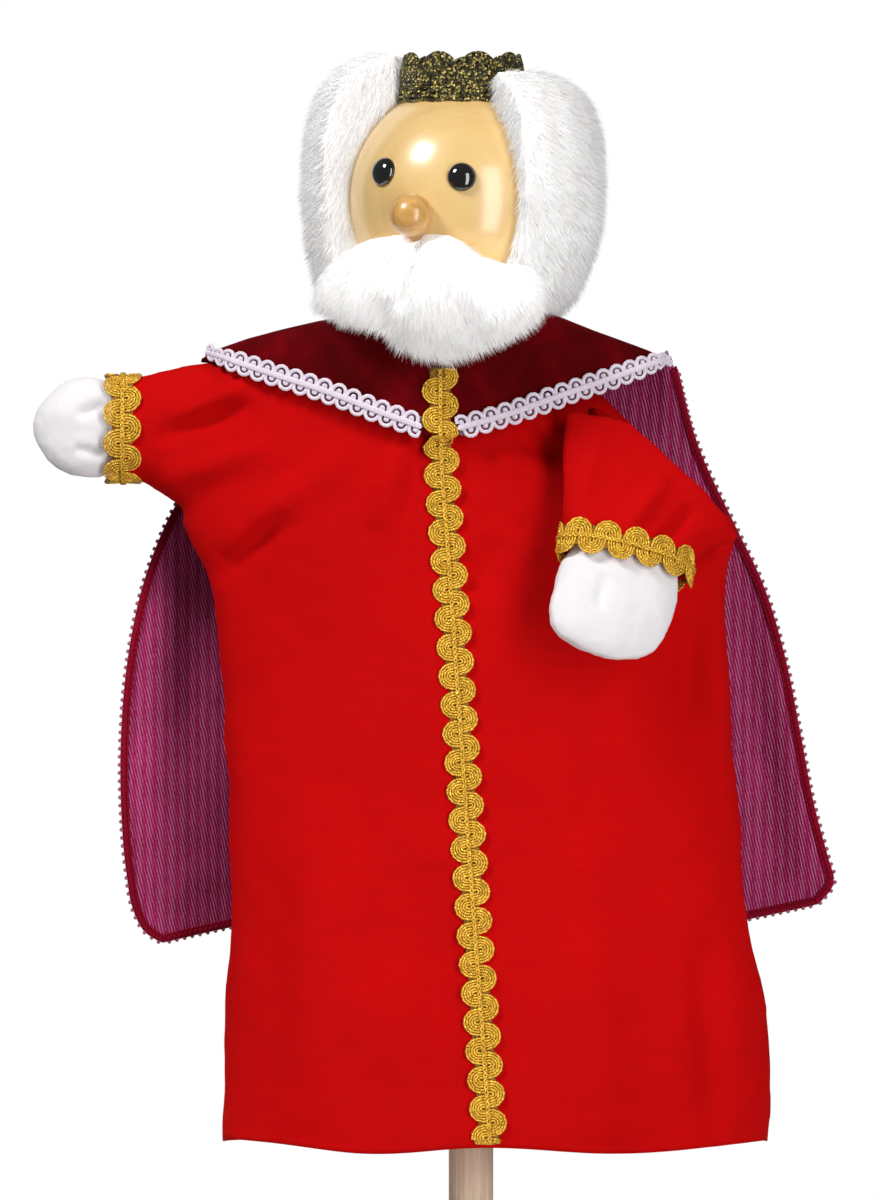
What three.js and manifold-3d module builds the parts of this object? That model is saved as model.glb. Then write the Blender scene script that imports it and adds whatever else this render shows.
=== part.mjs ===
// A glove-style hand puppet of a bearded king on its display rod.
// Millimetres, +Z up, the puppet looks towards -Y, the rod stands on the origin.
import * as THREE from 'three';
import Module from 'manifold-3d';
import { mergeVertices } from 'three/addons/utils/BufferGeometryUtils.js';
import { ParametricGeometry } from 'three/addons/geometries/ParametricGeometry.js';

const wasm = await Module();
wasm.setup();

// ---- driving sizes ----
const GAP = 0.35; // room left between two pieces that touch
const CLOTH = 1; // gown cloth with its seams
const VELVET = 1.2; // collar and cape cloth
const BRAID = 2.2; // thickness of the gold gimp braid
const BRAID_WIDTH = 9.5;
const TRIM = 1.4; // thickness of the collar's gimp and of the cuffs' braid
const TRIM_WIDTH = 6;
const EDGE_WIDTH = 1.9; // overlocked edge of the cape
const ROD_RADIUS = 6;
const ROD_TOP = 271;
const HEM = 28.5; // height of the gown's hem above the rod's foot
const HEAD_RADIUS = 31;
const HEAD = new THREE.Vector3(-2.4, 0, 282.2); // centre of the wooden ball
const FACE_TURN = -23; // degrees the face looks to the left of straight ahead
const FACE_ROLL = 4.5; // degrees the eyes slope
const TUBE_RADIUS = 10.7;
const TUBE_WALL = 1.2;
const TUBE_FOOT = 241;
const NECK_OPENING = 15.3;
const FAR = 60; // further out than any piece, for cutting blocks
const OPEN = 5; // how far a cut runs out past an open edge

// ---- outlines: height, left side, right side, half depth ----
const GOWN_RINGS = [
  [HEM, -66.4, 78.5, 27],
  [48, -66, 79.5, 26.5],
  [66, -65.6, 78.5, 26],
  [80, -65, 75.5, 25],
  [100, -64.6, 73, 24],
  [124, -65, 71.3, 23],
  [149, -66.3, 69.2, 22],
  [174, -69, 68, 20.5],
  [187, -72, 69.4, 20],
  [194, -73.5, 70, 19.5],
  [204, -74, 60.5, 19],
  [216, -74, 48, 18.5],
  [228, -73, 35.5, 18],
  [236, -71, 27, 17.8],
  [239.5, -65, 23.5, 17.5],
  [242.5, -56, 20.5, 17.3],
  [245.5, -43, 17.5, 17],
  [248, -31, 15.5, 16.8],
  [250, -19.5, 14.7, 16.6],
];
// The collar's outside, drawn over the same shoulders.
const COLLAR_RINGS = [
  [212, -76, 60, 21.8],
  [230, -75, 57, 21.3],
  [238, -73.5, 54.5, 21],
  [241, -69, 47, 20.8],
  [244, -60, 39, 20.6],
  [247.5, -46, 30, 20.3],
  [250.5, -32, 22, 20],
  [253, -20.2, 15.4, 19.5],
];
// The wig before the ball, the face and the collar's room are taken out of it.
const WIG_RINGS = [
  [253.5, -33, 33, 30],
  [259, -38, 38, 34],
  [270, -41, 41, 36],
  [285, -42.5, 42.5, 37],
  [300, -41.5, 41.5, 36],
  [310, -38.5, 38.5, 33],
  [316, -33, 33, 28],
  [319.5, -25, 25, 20],
];
const WIG_BACK = 5; // the wig sits this far behind the middle of the ball
const WIG_ASIDE = -3; // and this far to the left of it
// The curved sheet that the cape's outline is cut from, wider than the cape itself.
const CAPE_RINGS = [
  [70, -120, 120, 34.5],
  [100, -120, 120, 33],
  [150, -120, 120, 30],
  [200, -120, 120, 27],
  [245, -120, 120, 23.6],
];

// ---- places ----
const SHOULDER = new THREE.Vector3(-72, 0, 220.5); // the left arm swings about this point
const ARMHOLE = 17;
const FOLD_START = new THREE.Vector3(35.6, 0, 227.9); // the right arm is folded down along this line
const FOLD_END = new THREE.Vector3(70.7, 0, 193.9);
const FOLD_FORWARD = 18; // how far in front of the seam the fold lies
const FOLD_RADIUS = 6;
const FOLD_LEAN = 26; // degrees the folded arm stands off the chest
const COLLAR_SEAM = 237.5; // the cape hangs from the collar at this height
const CAPE_HEM = 84;
const CUFF_DROP = 22.4; // from the fold to the middle of the right cuff, square to the fold
const CUFF_ALONG = 32.9; // the same along the fold
const ARM_ANGLE = 57.9; // degrees between the fold and the right arm

// ---- solids ----

function flip(triangles) {
  for (let i = 0; i < triangles.length; i += 3) {
    [triangles[i], triangles[i + 1]] = [triangles[i + 1], triangles[i]];
  }
}

// Six times the volume, below zero when the faces point inwards.
function signedVolume(corners, triangles) {
  const [a, b, c] = [new THREE.Vector3(), new THREE.Vector3(), new THREE.Vector3()];
  let total = 0;
  for (let i = 0; i < triangles.length; i += 3) {
    a.fromArray(corners, 3 * triangles[i]);
    b.fromArray(corners, 3 * triangles[i + 1]);
    c.fromArray(corners, 3 * triangles[i + 2]);
    total += a.dot(b.cross(c));
  }
  return total;
}

// A closed geometry as a solid that can be cut and joined.
function solid(geometry) {
  const bare = geometry.clone();
  bare.deleteAttribute('normal');
  bare.deleteAttribute('uv');
  const welded = mergeVertices(bare, 1e-4);
  const index = welded.index.array;
  const triangles = [];
  for (let i = 0; i < index.length; i += 3) {
    const [a, b, c] = [index[i], index[i + 1], index[i + 2]];
    if (a !== b && b !== c && c !== a) triangles.push(a, b, c);
  }
  const corners = new Float32Array(welded.attributes.position.array);
  if (signedVolume(corners, triangles) < 0) flip(triangles);
  return new wasm.Manifold(
    new wasm.Mesh({ numProp: 3, vertProperties: corners, triVerts: new Uint32Array(triangles) }),
  );
}

function meshOf(name, body, material) {
  const shape = body.getMesh();
  const geometry = new THREE.BufferGeometry();
  geometry.setAttribute('position', new THREE.BufferAttribute(new Float32Array(shape.vertProperties), 3));
  geometry.setIndex(new THREE.BufferAttribute(new Uint32Array(shape.triVerts), 1));
  geometry.computeVertexNormals();
  const mesh = new THREE.Mesh(geometry, material);
  mesh.name = name;
  return mesh;
}

function material(name, color, roughness, metalness = 0) {
  const made = new THREE.MeshStandardMaterial({ color, roughness, metalness });
  made.name = name;
  return made;
}

// A body through oval rings, one above the other, closed at both ends.
function ringBody(rings, around) {
  const rows = rings.length + 1;
  const point = (u, v, target) => {
    const row = Math.round(v * rows);
    const [height, left, right, depth] = rings[Math.min(Math.max(row - 1, 0), rings.length - 1)];
    const open = row > 0 && row < rows ? 1 : 0;
    const angle = (u === 1 ? 0 : u) * 2 * Math.PI;
    const half = (right - left) / 2;
    target.set((left + right) / 2 + open * half * Math.cos(angle), open * depth * Math.sin(angle), height);
  };
  return new ParametricGeometry(point, around, rows);
}

// The same rings moved outwards by a thickness, and upwards where the shoulders lie flat.
function offset(rings, thickness) {
  return rings.map(([height, left, right, depth]) => {
    const rise = THREE.MathUtils.clamp((height - 232) / 6, 0, 1);
    return [height + rise * thickness, left - thickness, right + thickness, depth + thickness];
  });
}

// The rings with one more below the lowest, so that a cut runs right through.
function extended(rings, down) {
  const [height, left, right, depth] = rings[0];
  return [[height - down, left, right, depth], ...rings];
}

// The wall between two offsets of the same rings, open below where down is more than 0.
function shell(rings, inner, outer, around, down = 0) {
  const skin = solid(ringBody(offset(rings, outer), around));
  return skin.subtract(solid(ringBody(extended(offset(rings, inner), down), around)));
}

function box(width, depth, height, x, y, z) {
  return solid(new THREE.BoxGeometry(width, depth, height).translate(x, y, z));
}

function rod(radius, length, segments = 24) {
  return new THREE.CylinderGeometry(radius, radius, length, segments).rotateX(Math.PI / 2);
}

// A flat outline in the front view, given depth along Y.
function slab(shape, front, back, curveSegments = 5) {
  const options = { depth: back - front, bevelEnabled: false, curveSegments };
  const geometry = new THREE.ExtrudeGeometry(shape, options);
  return solid(geometry.rotateX(Math.PI / 2).translate(0, back, 0));
}

function points(list) {
  return list.map(([x, z]) => new THREE.Vector2(x, z));
}

// ---- display rod ----

function displayRod() {
  const profile = points([[0, 0], [ROD_RADIUS, 0], [ROD_RADIUS, ROD_TOP - ROD_RADIUS]]);
  const dome = new THREE.Path().absarc(0, ROD_TOP - ROD_RADIUS, ROD_RADIUS, 0, Math.PI / 2);
  profile.push(...dome.getPoints(4).slice(1, -1), new THREE.Vector2(0, ROD_TOP));
  return solid(new THREE.LatheGeometry(profile, 24).rotateX(Math.PI / 2));
}

// ---- gown ----

function gownShell() {
  const neck = solid(rod(NECK_OPENING, FAR, 24).translate(HEAD.x, 0, COLLAR_SEAM + FAR / 4));
  const armhole = solid(rod(ARMHOLE, FAR, 32).rotateX(Math.PI / 2).translate(SHOULDER.x, 0, SHOULDER.z));
  return shell(GOWN_RINGS, -CLOTH, 0, 32, OPEN).subtract(neck).subtract(armhole);
}

// The front half (side -1) or the back half (side 1), sewn along the side seams.
function gownHalf(side) {
  return gownShell().subtract(box(4 * FAR, FAR, 6 * FAR, 0, -side * (FAR / 2 - GAP / 2), 2 * FAR));
}

// The braid's middle line from hem to beard, in the front view.
function braidLine() {
  const line = [[5.1, HEM], [3.2, 55], [0, 98], [-3, 141], [-6, 184], [-8, 215], [-8.5, 232]];
  return new THREE.SplineCurve(points(line));
}

// A block in front of the puppet, of one width along a line in the front view.
function stripAlong(curve, width, steps) {
  const shape = new THREE.Shape();
  const edge = [];
  for (let i = 0; i <= steps; i++) {
    const middle = curve.getPoint(i / steps);
    const along = curve.getTangent(i / steps);
    const square = new THREE.Vector2(-along.y, along.x).multiplyScalar(width / 2);
    edge.push([middle.clone().add(square), middle.clone().sub(square)]);
  }
  shape.setFromPoints([...edge.map((pair) => pair[0]), ...edge.map((pair) => pair[1]).reverse()]);
  return slab(shape, -FAR, -OPEN);
}

// The braid lies on the gown, steps up over the collar's edge and runs on over the collar.
function frontBraid() {
  const strip = stripAlong(braidLine(), BRAID_WIDTH, 18);
  const underEdge = slab(collarEdge(-GAP), -FAR, 0);
  const lower = shell(GOWN_RINGS, GAP, GAP + BRAID, 32, OPEN).intersect(strip).intersect(underEdge);
  const onCollar = solid(ringBody(offset(COLLAR_RINGS, GAP + BRAID), 32)).intersect(strip);
  const step = onCollar.subtract(solid(ringBody(offset(GOWN_RINGS, GAP), 32))).intersect(underEdge);
  const upper = onCollar.subtract(solid(ringBody(extended(offset(COLLAR_RINGS, GAP), OPEN), 32)));
  const lowest = slab(collarEdge(-BRAID), -FAR, 0);
  return lower.add(step.subtract(lowest)).add(upper.subtract(lowest));
}

// ---- collar ----

// Everything below the collar's pointed lower edge, raised or lowered by a shift.
function collarEdge(shift) {
  const left = [[-90, 240.5], [-71.5, 238.2], [-38, 227], [-24, 221.5]];
  const right = [[10.5, 221.3], [24, 226], [54, 237], [80, 240]];
  const line = [...left, [-9, 216], ...right];
  const shape = new THREE.Shape();
  shape.setFromPoints(points([[80, 0], [-90, 0], ...line.map(([x, z]) => [x, z + shift])]));
  return shape;
}

function collar() {
  const neck = solid(rod(NECK_OPENING + 0.9, FAR, 24).translate(HEAD.x, 0, COLLAR_SEAM));
  const behind = box(4 * FAR, FAR, FAR, 0, FAR / 2 + 0.2, COLLAR_SEAM - FAR / 2);
  const below = slab(collarEdge(0), -FAR, 0.5).add(behind);
  return shell(COLLAR_RINGS, -VELVET, 0, 36, OPEN).subtract(neck).subtract(below);
}

// The gimp along the collar's edge, to the left (side -1) or right (side 1) of the front braid.
function collarTrim(side) {
  const band = shell(COLLAR_RINGS, GAP, GAP + TRIM, 36, OPEN);
  const strip = slab(collarEdge(TRIM_WIDTH - 0.8), -FAR, -0.5).subtract(slab(collarEdge(-0.8), -FAR, 0));
  const braid = stripAlong(braidLine(), BRAID_WIDTH + 2 * GAP, 18);
  const half = box(2 * FAR, FAR, FAR, braidLine().getPoint(0.9).x + side * FAR, -FAR / 2 - 0.5, COLLAR_SEAM);
  return band.intersect(strip).intersect(half).subtract(braid);
}

// ---- cape ----

// The cape's outline in the front view, moved in from its edge.
function capeOutline(inset) {
  const shape = new THREE.Shape();
  const low = CAPE_HEM + inset;
  shape.moveTo(-50 + inset, COLLAR_SEAM - 0.7);
  const down = [[-79, 200], [-91.5, 160], [-94, 122], [-90, low + 6]];
  shape.splineThru(points(down.map(([x, z]) => [x + inset, z])));
  shape.quadraticCurveTo(-88 + inset, low - 2, -80 + inset, low - 1);
  shape.splineThru(points([[0, low], [84 - inset, low + 6]]));
  shape.quadraticCurveTo(98.5 - inset, low + 10, 97.5 - inset, low + 17);
  const up = [[91.5, 120], [85, 157], [71.8, 192], [60, 217]];
  shape.splineThru(points(up.map(([x, z]) => [x - inset, z])));
  shape.lineTo(54 - inset, COLLAR_SEAM - 0.7);
  shape.closePath();
  return shape;
}

function capePanel() {
  return shell(CAPE_RINGS, -VELVET, 0, 48, OPEN).intersect(slab(capeOutline(EDGE_WIDTH), OPEN, FAR));
}

function capeEdging() {
  const above = box(4 * FAR, FAR, FAR, 0, FAR / 2, COLLAR_SEAM - 1.5 + FAR / 2);
  const middle = slab(capeOutline(EDGE_WIDTH - GAP), OPEN - 1, FAR + 1);
  const rim = slab(capeOutline(0), OPEN, FAR).subtract(middle).subtract(above);
  return shell(CAPE_RINGS, -VELVET - 0.5, 0.5, 48, OPEN).intersect(rim);
}

// ---- arms: rings along the arm, [distance past the cuff, upper half, lower half, half thickness] ----

const LEFT_SLEEVE = [
  [-36, 17, 17, 11],
  [-21.9, 16.4, 16.6, 9.5],
  [-12, 14.4, 15, 8.8],
  [-5.4, 13, 13.8, 8.2],
  [4.4, 12.6, 13.2, 8],
];
const LEFT_HAND = [
  [-4, 11, 11, 6.3],
  [4.6, 11.2, 11.4, 6.5],
  [8, 13.3, 13, 7],
  [15, 13.4, 13, 6.6],
  [20.5, 10.5, 10.5, 5.2],
  [23.6, 6, 6, 3],
];
const RIGHT_SLEEVE = [
  [-33, 34, 22.3, 6.5],
  [-24, 34, 21.6, 7],
  [-12, 31, 19.6, 7.5],
  [-5.4, 20.4, 18.4, 7.7],
  [4.4, 17.3, 17, 7.8],
];
const RIGHT_HAND = [
  [-4, 15, 15, 6.2],
  [4.6, 15.2, 15.2, 6.4],
  [8, 17, 17, 6.9],
  [16, 17.2, 17.2, 6.8],
  [24, 14.6, 14.6, 5.6],
  [28.6, 8, 8, 3.2],
];

function armBody(rings, grow) {
  const moved = rings.map(([along, upper, lower, thick]) => [along, -lower - grow, upper + grow, thick + grow]);
  return ringBody(moved, 28);
}

// The frames of the two cuffs: X to the arm's upper side, Y through its thickness, Z towards the hand.
function leftPlace() {
  const cuff = new THREE.Vector3(-93.9, 0, 220.8);
  return new THREE.Matrix4()
    .makeBasis(new THREE.Vector3(0, 0, 1), new THREE.Vector3(0, 1, 0), new THREE.Vector3(-1, 0, 0))
    .setPosition(cuff);
}

// The line that the right arm is folded down along, and the way its cloth leaves the fold.
function foldFrame() {
  const along = FOLD_END.clone().sub(FOLD_START).normalize();
  const inward = new THREE.Vector3(along.z, 0, -along.x);
  const lean = THREE.MathUtils.degToRad(FOLD_LEAN);
  const start = FOLD_START.clone().addScaledVector(inward, FOLD_RADIUS);
  start.y = -FOLD_FORWARD;
  const down = inward.clone().multiplyScalar(Math.cos(lean));
  down.y = -Math.sin(lean);
  return { along, down, start };
}

function rightPlace() {
  const { along, down, start } = foldFrame();
  const turn = THREE.MathUtils.degToRad(ARM_ANGLE);
  const arm = along.clone().multiplyScalar(Math.cos(turn)).addScaledVector(down, Math.sin(turn));
  const normal = down.clone().cross(along).normalize();
  const across = normal.clone().cross(arm);
  const cuff = start.clone().addScaledVector(along, CUFF_ALONG).addScaledVector(down, CUFF_DROP);
  return new THREE.Matrix4().makeBasis(across, normal, arm).setPosition(cuff);
}

function placed(geometry, place) {
  return solid(geometry.applyMatrix4(place));
}

// A tube of cloth: the rings' body, less the same body one cloth thinner and longer at its open ends.
function clothTube(rings, place, openNear, openFar) {
  const inner = rings.map((ring) => [...ring]);
  if (openNear) inner[0][0] -= 3;
  if (openFar) inner[inner.length - 1][0] += 3;
  return placed(armBody(rings, 0), place).subtract(placed(armBody(inner, -CLOTH), place));
}

function sleeveLeft() {
  const round = solid(rod(ARMHOLE - GAP, FAR, 32).rotateX(Math.PI / 2).translate(SHOULDER.x, 0, SHOULDER.z));
  const outside = box(FAR, FAR, FAR, SHOULDER.x - FAR / 2, 0, SHOULDER.z);
  return clothTube(LEFT_SLEEVE, leftPlace(), true, true).intersect(round.add(outside));
}

// Everything on the arm's side of the fold, with the fold itself rounded.
function foldKeeper() {
  const { along, down, start } = foldFrame();
  const middle = start.clone().addScaledVector(along, FAR / 2);
  const frame = new THREE.Matrix4().makeBasis(along, down, along.clone().cross(down)).setPosition(middle);
  const half = new THREE.BoxGeometry(2 * FAR, FAR, FAR).translate(0, FAR / 2, 0);
  const round = rod(FOLD_RADIUS, 2 * FAR, 24).rotateY(Math.PI / 2);
  return placed(half, frame).add(placed(round, frame));
}

function sleeveRight() {
  return clothTube(RIGHT_SLEEVE, rightPlace(), true, true).intersect(foldKeeper());
}

// The braid round a sleeve's end, over its last two rings.
function cuffBraid(sleeve, place) {
  const half = BRAID_WIDTH / 2 + 0.6;
  const [near, far] = sleeve.slice(-2).map(([, ...size]) => size);
  const band = [[-half, ...near], [half, ...far]];
  const inner = [[-half - 3, ...near], ...band, [half + 3, ...far]];
  return placed(armBody(band, GAP + TRIM), place).subtract(placed(armBody(inner, GAP), place));
}

// The palm (side 1) or the back (side -1) of a mitten hand.
function handHalf(rings, place, side) {
  const glove = clothTube(rings, place, true, false);
  const cut = new THREE.BoxGeometry(2 * FAR, FAR, 2 * FAR).translate(0, -side * (FAR / 2 - GAP / 2), 0);
  return glove.subtract(placed(cut, place));
}

// ---- head ----

// A point on or above the ball's surface, in the turned and tilted frame of the face.
function faceFrame(azimuth, elevation, radius) {
  const turned = new THREE.Matrix4().makeRotationZ(THREE.MathUtils.degToRad(FACE_TURN));
  const rolled = new THREE.Matrix4().makeRotationY(THREE.MathUtils.degToRad(FACE_ROLL));
  const aside = new THREE.Matrix4().makeRotationZ(THREE.MathUtils.degToRad(azimuth));
  const raised = new THREE.Matrix4().makeRotationX(THREE.MathUtils.degToRad(-elevation));
  const out = new THREE.Matrix4().makeTranslation(0, -radius, 0);
  return [turned, rolled, aside, raised, out].reduce(
    (frame, step) => frame.multiply(step),
    new THREE.Matrix4().setPosition(HEAD),
  );
}

const EYE_RADIUS = 3.8;
const EYE_FLATNESS = 0.7;
const EYE_AZIMUTH = 22;
const EYE_ELEVATION = 11;
const SHANK_RADIUS = 1.3;
const SHANK_LENGTH = 9;
const NOSE_RADIUS = 5.8;
const NOSE_ELEVATION = -8.6;
const NOSE_OUT = HEAD_RADIUS + 3.5;
const PIN_RADIUS = 1.5;

// A round pin through the ball's surface, from one distance outside it to another.
function pin(radius, inner, outer, frame) {
  const upright = rod(radius, outer - inner, 12);
  return placed(upright.rotateX(Math.PI / 2).translate(0, -(inner + outer) / 2, 0), frame);
}

function ballOf(radius) {
  return solid(new THREE.SphereGeometry(radius, 32, 20).rotateX(Math.PI / 2).translate(...HEAD));
}

function noseOf(radius) {
  const frame = faceFrame(0, NOSE_ELEVATION, NOSE_OUT);
  return solid(new THREE.SphereGeometry(radius, 20, 12).applyMatrix4(frame));
}

function eyeFrame(side) {
  return faceFrame(side * EYE_AZIMUTH, EYE_ELEVATION, HEAD_RADIUS);
}

function headBall() {
  const bore = solid(rod(TUBE_RADIUS + GAP, FAR, 24).translate(HEAD.x, 0, ROD_TOP + GAP - FAR / 2));
  const deep = -SHANK_LENGTH - 1;
  const nosePinHole = pin(PIN_RADIUS + GAP, deep, 5, faceFrame(0, NOSE_ELEVATION, HEAD_RADIUS));
  const eyeHoles = [-1, 1].map((side) => pin(SHANK_RADIUS + GAP, deep, 2, eyeFrame(side)));
  const holes = [bore, nosePinHole, noseOf(NOSE_RADIUS + GAP), ...eyeHoles];
  return holes.reduce((body, hole) => body.subtract(hole), ballOf(HEAD_RADIUS));
}

// A domed bead with a shank that is glued into the ball.
function eye(side) {
  const dome = new THREE.SphereGeometry(EYE_RADIUS, 16, 10).scale(1, EYE_FLATNESS, 1);
  const shank = pin(SHANK_RADIUS, -SHANK_LENGTH, 1.2, eyeFrame(side));
  return placed(dome, eyeFrame(side)).subtract(ballOf(HEAD_RADIUS + GAP)).add(shank);
}

function noseBead() {
  const bore = pin(PIN_RADIUS + GAP, -20, 3, faceFrame(0, NOSE_ELEVATION, NOSE_OUT));
  return noseOf(NOSE_RADIUS).subtract(bore);
}

function nosePin() {
  return pin(PIN_RADIUS, -SHANK_LENGTH - 0.6, 5.8, faceFrame(0, NOSE_ELEVATION, HEAD_RADIUS));
}

// The card tube that a finger goes into and the rod's tip stands in.
function neckTube() {
  const outer = solid(rod(TUBE_RADIUS, ROD_TOP - TUBE_FOOT, 24));
  const inner = solid(rod(TUBE_RADIUS - TUBE_WALL, ROD_TOP - TUBE_FOOT + 4, 24));
  return outer.subtract(inner).translate([HEAD.x, 0, (ROD_TOP + TUBE_FOOT) / 2]);
}

const GATHER_TOP = 251.5;
const GATHER_FOOT = 243;
const CORD_HEIGHT = 247;

// The gown's neck edge, gathered round the tube, with a waist where the cord ties it.
function neckGather() {
  const inner = TUBE_RADIUS + GAP;
  const outer = inner + 1.6;
  const waist = outer - 0.8;
  const profile = points([
    [inner, GATHER_FOOT],
    [outer, GATHER_FOOT],
    [outer, CORD_HEIGHT - 1.2],
    [waist, CORD_HEIGHT - 0.4],
    [waist, CORD_HEIGHT + 0.4],
    [outer, CORD_HEIGHT + 1.2],
    [outer, GATHER_TOP],
    [inner, GATHER_TOP],
    [inner, GATHER_FOOT],
  ]);
  return solid(new THREE.LatheGeometry(profile, 24).rotateX(Math.PI / 2).translate(HEAD.x, 0, 0));
}

function neckCord() {
  return solid(new THREE.TorusGeometry(TUBE_RADIUS + GAP + 1.9, 0.6, 6, 24).translate(HEAD.x, 0, CORD_HEIGHT));
}

const HEAD_TURNS = [-15, 12, 24, 36]; // degrees, over the whole of its range

// Room for the head to turn and nod over the collar.
function shoulderRoom() {
  let room = solid(ringBody(offset(COLLAR_RINGS, 3.6), 32));
  const still = room;
  for (const turn of HEAD_TURNS) {
    const swung = still.translate([-HEAD.x, 0, 0]).rotate([0, 0, -turn]).translate([HEAD.x, 0, 0]);
    room = room.add(swung);
  }
  return room;
}

// The sector in front of the head axis between two sides of the face, seen from above.
function faceSector(half, low, high) {
  const shape = new THREE.Shape();
  const far = 1.5 * FAR;
  const spread = THREE.MathUtils.degToRad(half);
  const ends = [-spread, -spread / 2, 0, spread / 2, spread];
  const arc = ends.map((a) => [far * Math.sin(a), -far * Math.cos(a)]);
  shape.setFromPoints(points([[0, 0], ...arc]));
  const geometry = new THREE.ExtrudeGeometry(shape, { depth: high - low, bevelEnabled: false });
  const turn = THREE.MathUtils.degToRad(FACE_TURN);
  return solid(geometry.translate(0, 0, low).rotateZ(turn).translate(HEAD.x, 0, 0));
}

const FACE_HALF = 55;
const CROWN_RADIUS = 17.6;
const CROWN_WALL = 2.4;
const CROWN_FOOT = 307.6;
const CROWN_TOP = 321;
const SCALLOPS = 9;
const SCALLOP_NOTCH = 2.4;

const FUR_FOOT = 264; // under the ball the fur leaves the neck free up to this height
const FUR_NECK = 25;

// One half of the wig, cut from its back seam to the side of the face.
function wigHalf(side) {
  const turn = THREE.MathUtils.degToRad(FACE_TURN);
  const cap = ringBody(WIG_RINGS, 24).translate(0, WIG_BACK, 0).rotateZ(turn);
  const crown = solid(rod(CROWN_RADIUS + 1, FAR, 24).translate(HEAD.x, 0, CROWN_FOOT - 2 + FAR / 2));
  const neck = solid(rod(FUR_NECK, FAR, 24).translate(HEAD.x, 0, FUR_FOOT - FAR / 2));
  const otherHalf = new THREE.BoxGeometry(2 * FAR, 3 * FAR, 3 * FAR);
  otherHalf.translate(-side * (FAR - GAP / 2), 0, HEAD.z).rotateZ(turn).translate(HEAD.x, 0, 0);
  return solid(cap.translate(HEAD.x + WIG_ASIDE, 0, 0))
    .subtract(ballOf(HEAD_RADIUS + GAP))
    .subtract(crown)
    .subtract(neck)
    .subtract(faceSector(FACE_HALF, HEAD.z - FAR, HEAD.z + FAR))
    .subtract(shoulderRoom())
    .subtract(solid(otherHalf));
}

// The beard and moustache, lower on the right cheek than on the left.
function beard() {
  const turn = THREE.MathUtils.degToRad(FACE_TURN);
  const tuft = new THREE.SphereGeometry(1, 24, 14).scale(31, 18, 19).translate(0, -22, 255.5);
  const neck = solid(rod(FUR_NECK + 0.5, FAR, 24).translate(HEAD.x, 0, FUR_FOOT - 8 - FAR / 2));
  const cheek = new THREE.Shape();
  cheek.setFromPoints(points([[-7, 276], [-1, 266], [9, 263], [40, 263], [40, 300], [-7, 300]]));
  return solid(tuft.rotateZ(turn).translate(HEAD.x, 0, 0))
    .subtract(ballOf(HEAD_RADIUS + GAP))
    .subtract(neck)
    .subtract(shoulderRoom())
    .subtract(noseOf(NOSE_RADIUS + 0.8))
    .subtract(slab(cheek, -FAR, 0))
    .intersect(faceSector(FACE_HALF - 0.6, HEAD.z - 1.5 * FAR, HEAD.z + FAR));
}

// A band round the top of the head with scallops cut along its upper edge.
function crownBand() {
  const height = CROWN_TOP - CROWN_FOOT;
  const inside = solid(rod(CROWN_RADIUS - CROWN_WALL, height + OPEN, 30));
  const ring = solid(rod(CROWN_RADIUS, height, 30)).subtract(inside);
  let crown = ring.translate([HEAD.x, 0, CROWN_FOOT + height / 2]);
  for (let i = 0; i < SCALLOPS; i++) {
    const notch = rod(SCALLOP_NOTCH, FAR, 10).rotateX(Math.PI / 2).translate(0, -FAR / 2, CROWN_TOP + 0.4);
    const angle = ((i + 0.35) / SCALLOPS) * 2 * Math.PI;
    crown = crown.subtract(solid(notch.rotateZ(angle).translate(HEAD.x, 0, 0)));
  }
  return crown.subtract(ballOf(HEAD_RADIUS + GAP));
}

// ---- assembly ----

const redCotton = () => material('red_cotton', 0xcf0b10, 0.85);
const goldBraid = () => material('gold_braid', 0xc9961c, 0.5, 0.35);
const velvet = () => material('red_velvet', 0x6a0410, 0.9);
const whiteCotton = () => material('white_cotton', 0xf2eef0, 0.9);
const whiteGimp = () => material('white_gimp', 0xe6dfee, 0.8);
const capeCloth = () => material('cape_cloth', 0x7d2450, 0.9);
const paleWood = () => material('lacquered_wood', 0xeecd8c, 0.3);
const noseWood = () => material('nose_wood', 0xd7a555, 0.35);
const rawWood = () => material('raw_wood', 0xb9a087, 0.75);
const card = () => material('card_tube', 0xa98c66, 0.85);
const blackBead = () => material('black_bead', 0x050505, 0.08);
const whiteFur = () => material('white_fur', 0xf4f3f1, 0.95);
const crownGimp = () => material('crown_gimp', 0x57461a, 0.45, 0.6);

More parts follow.
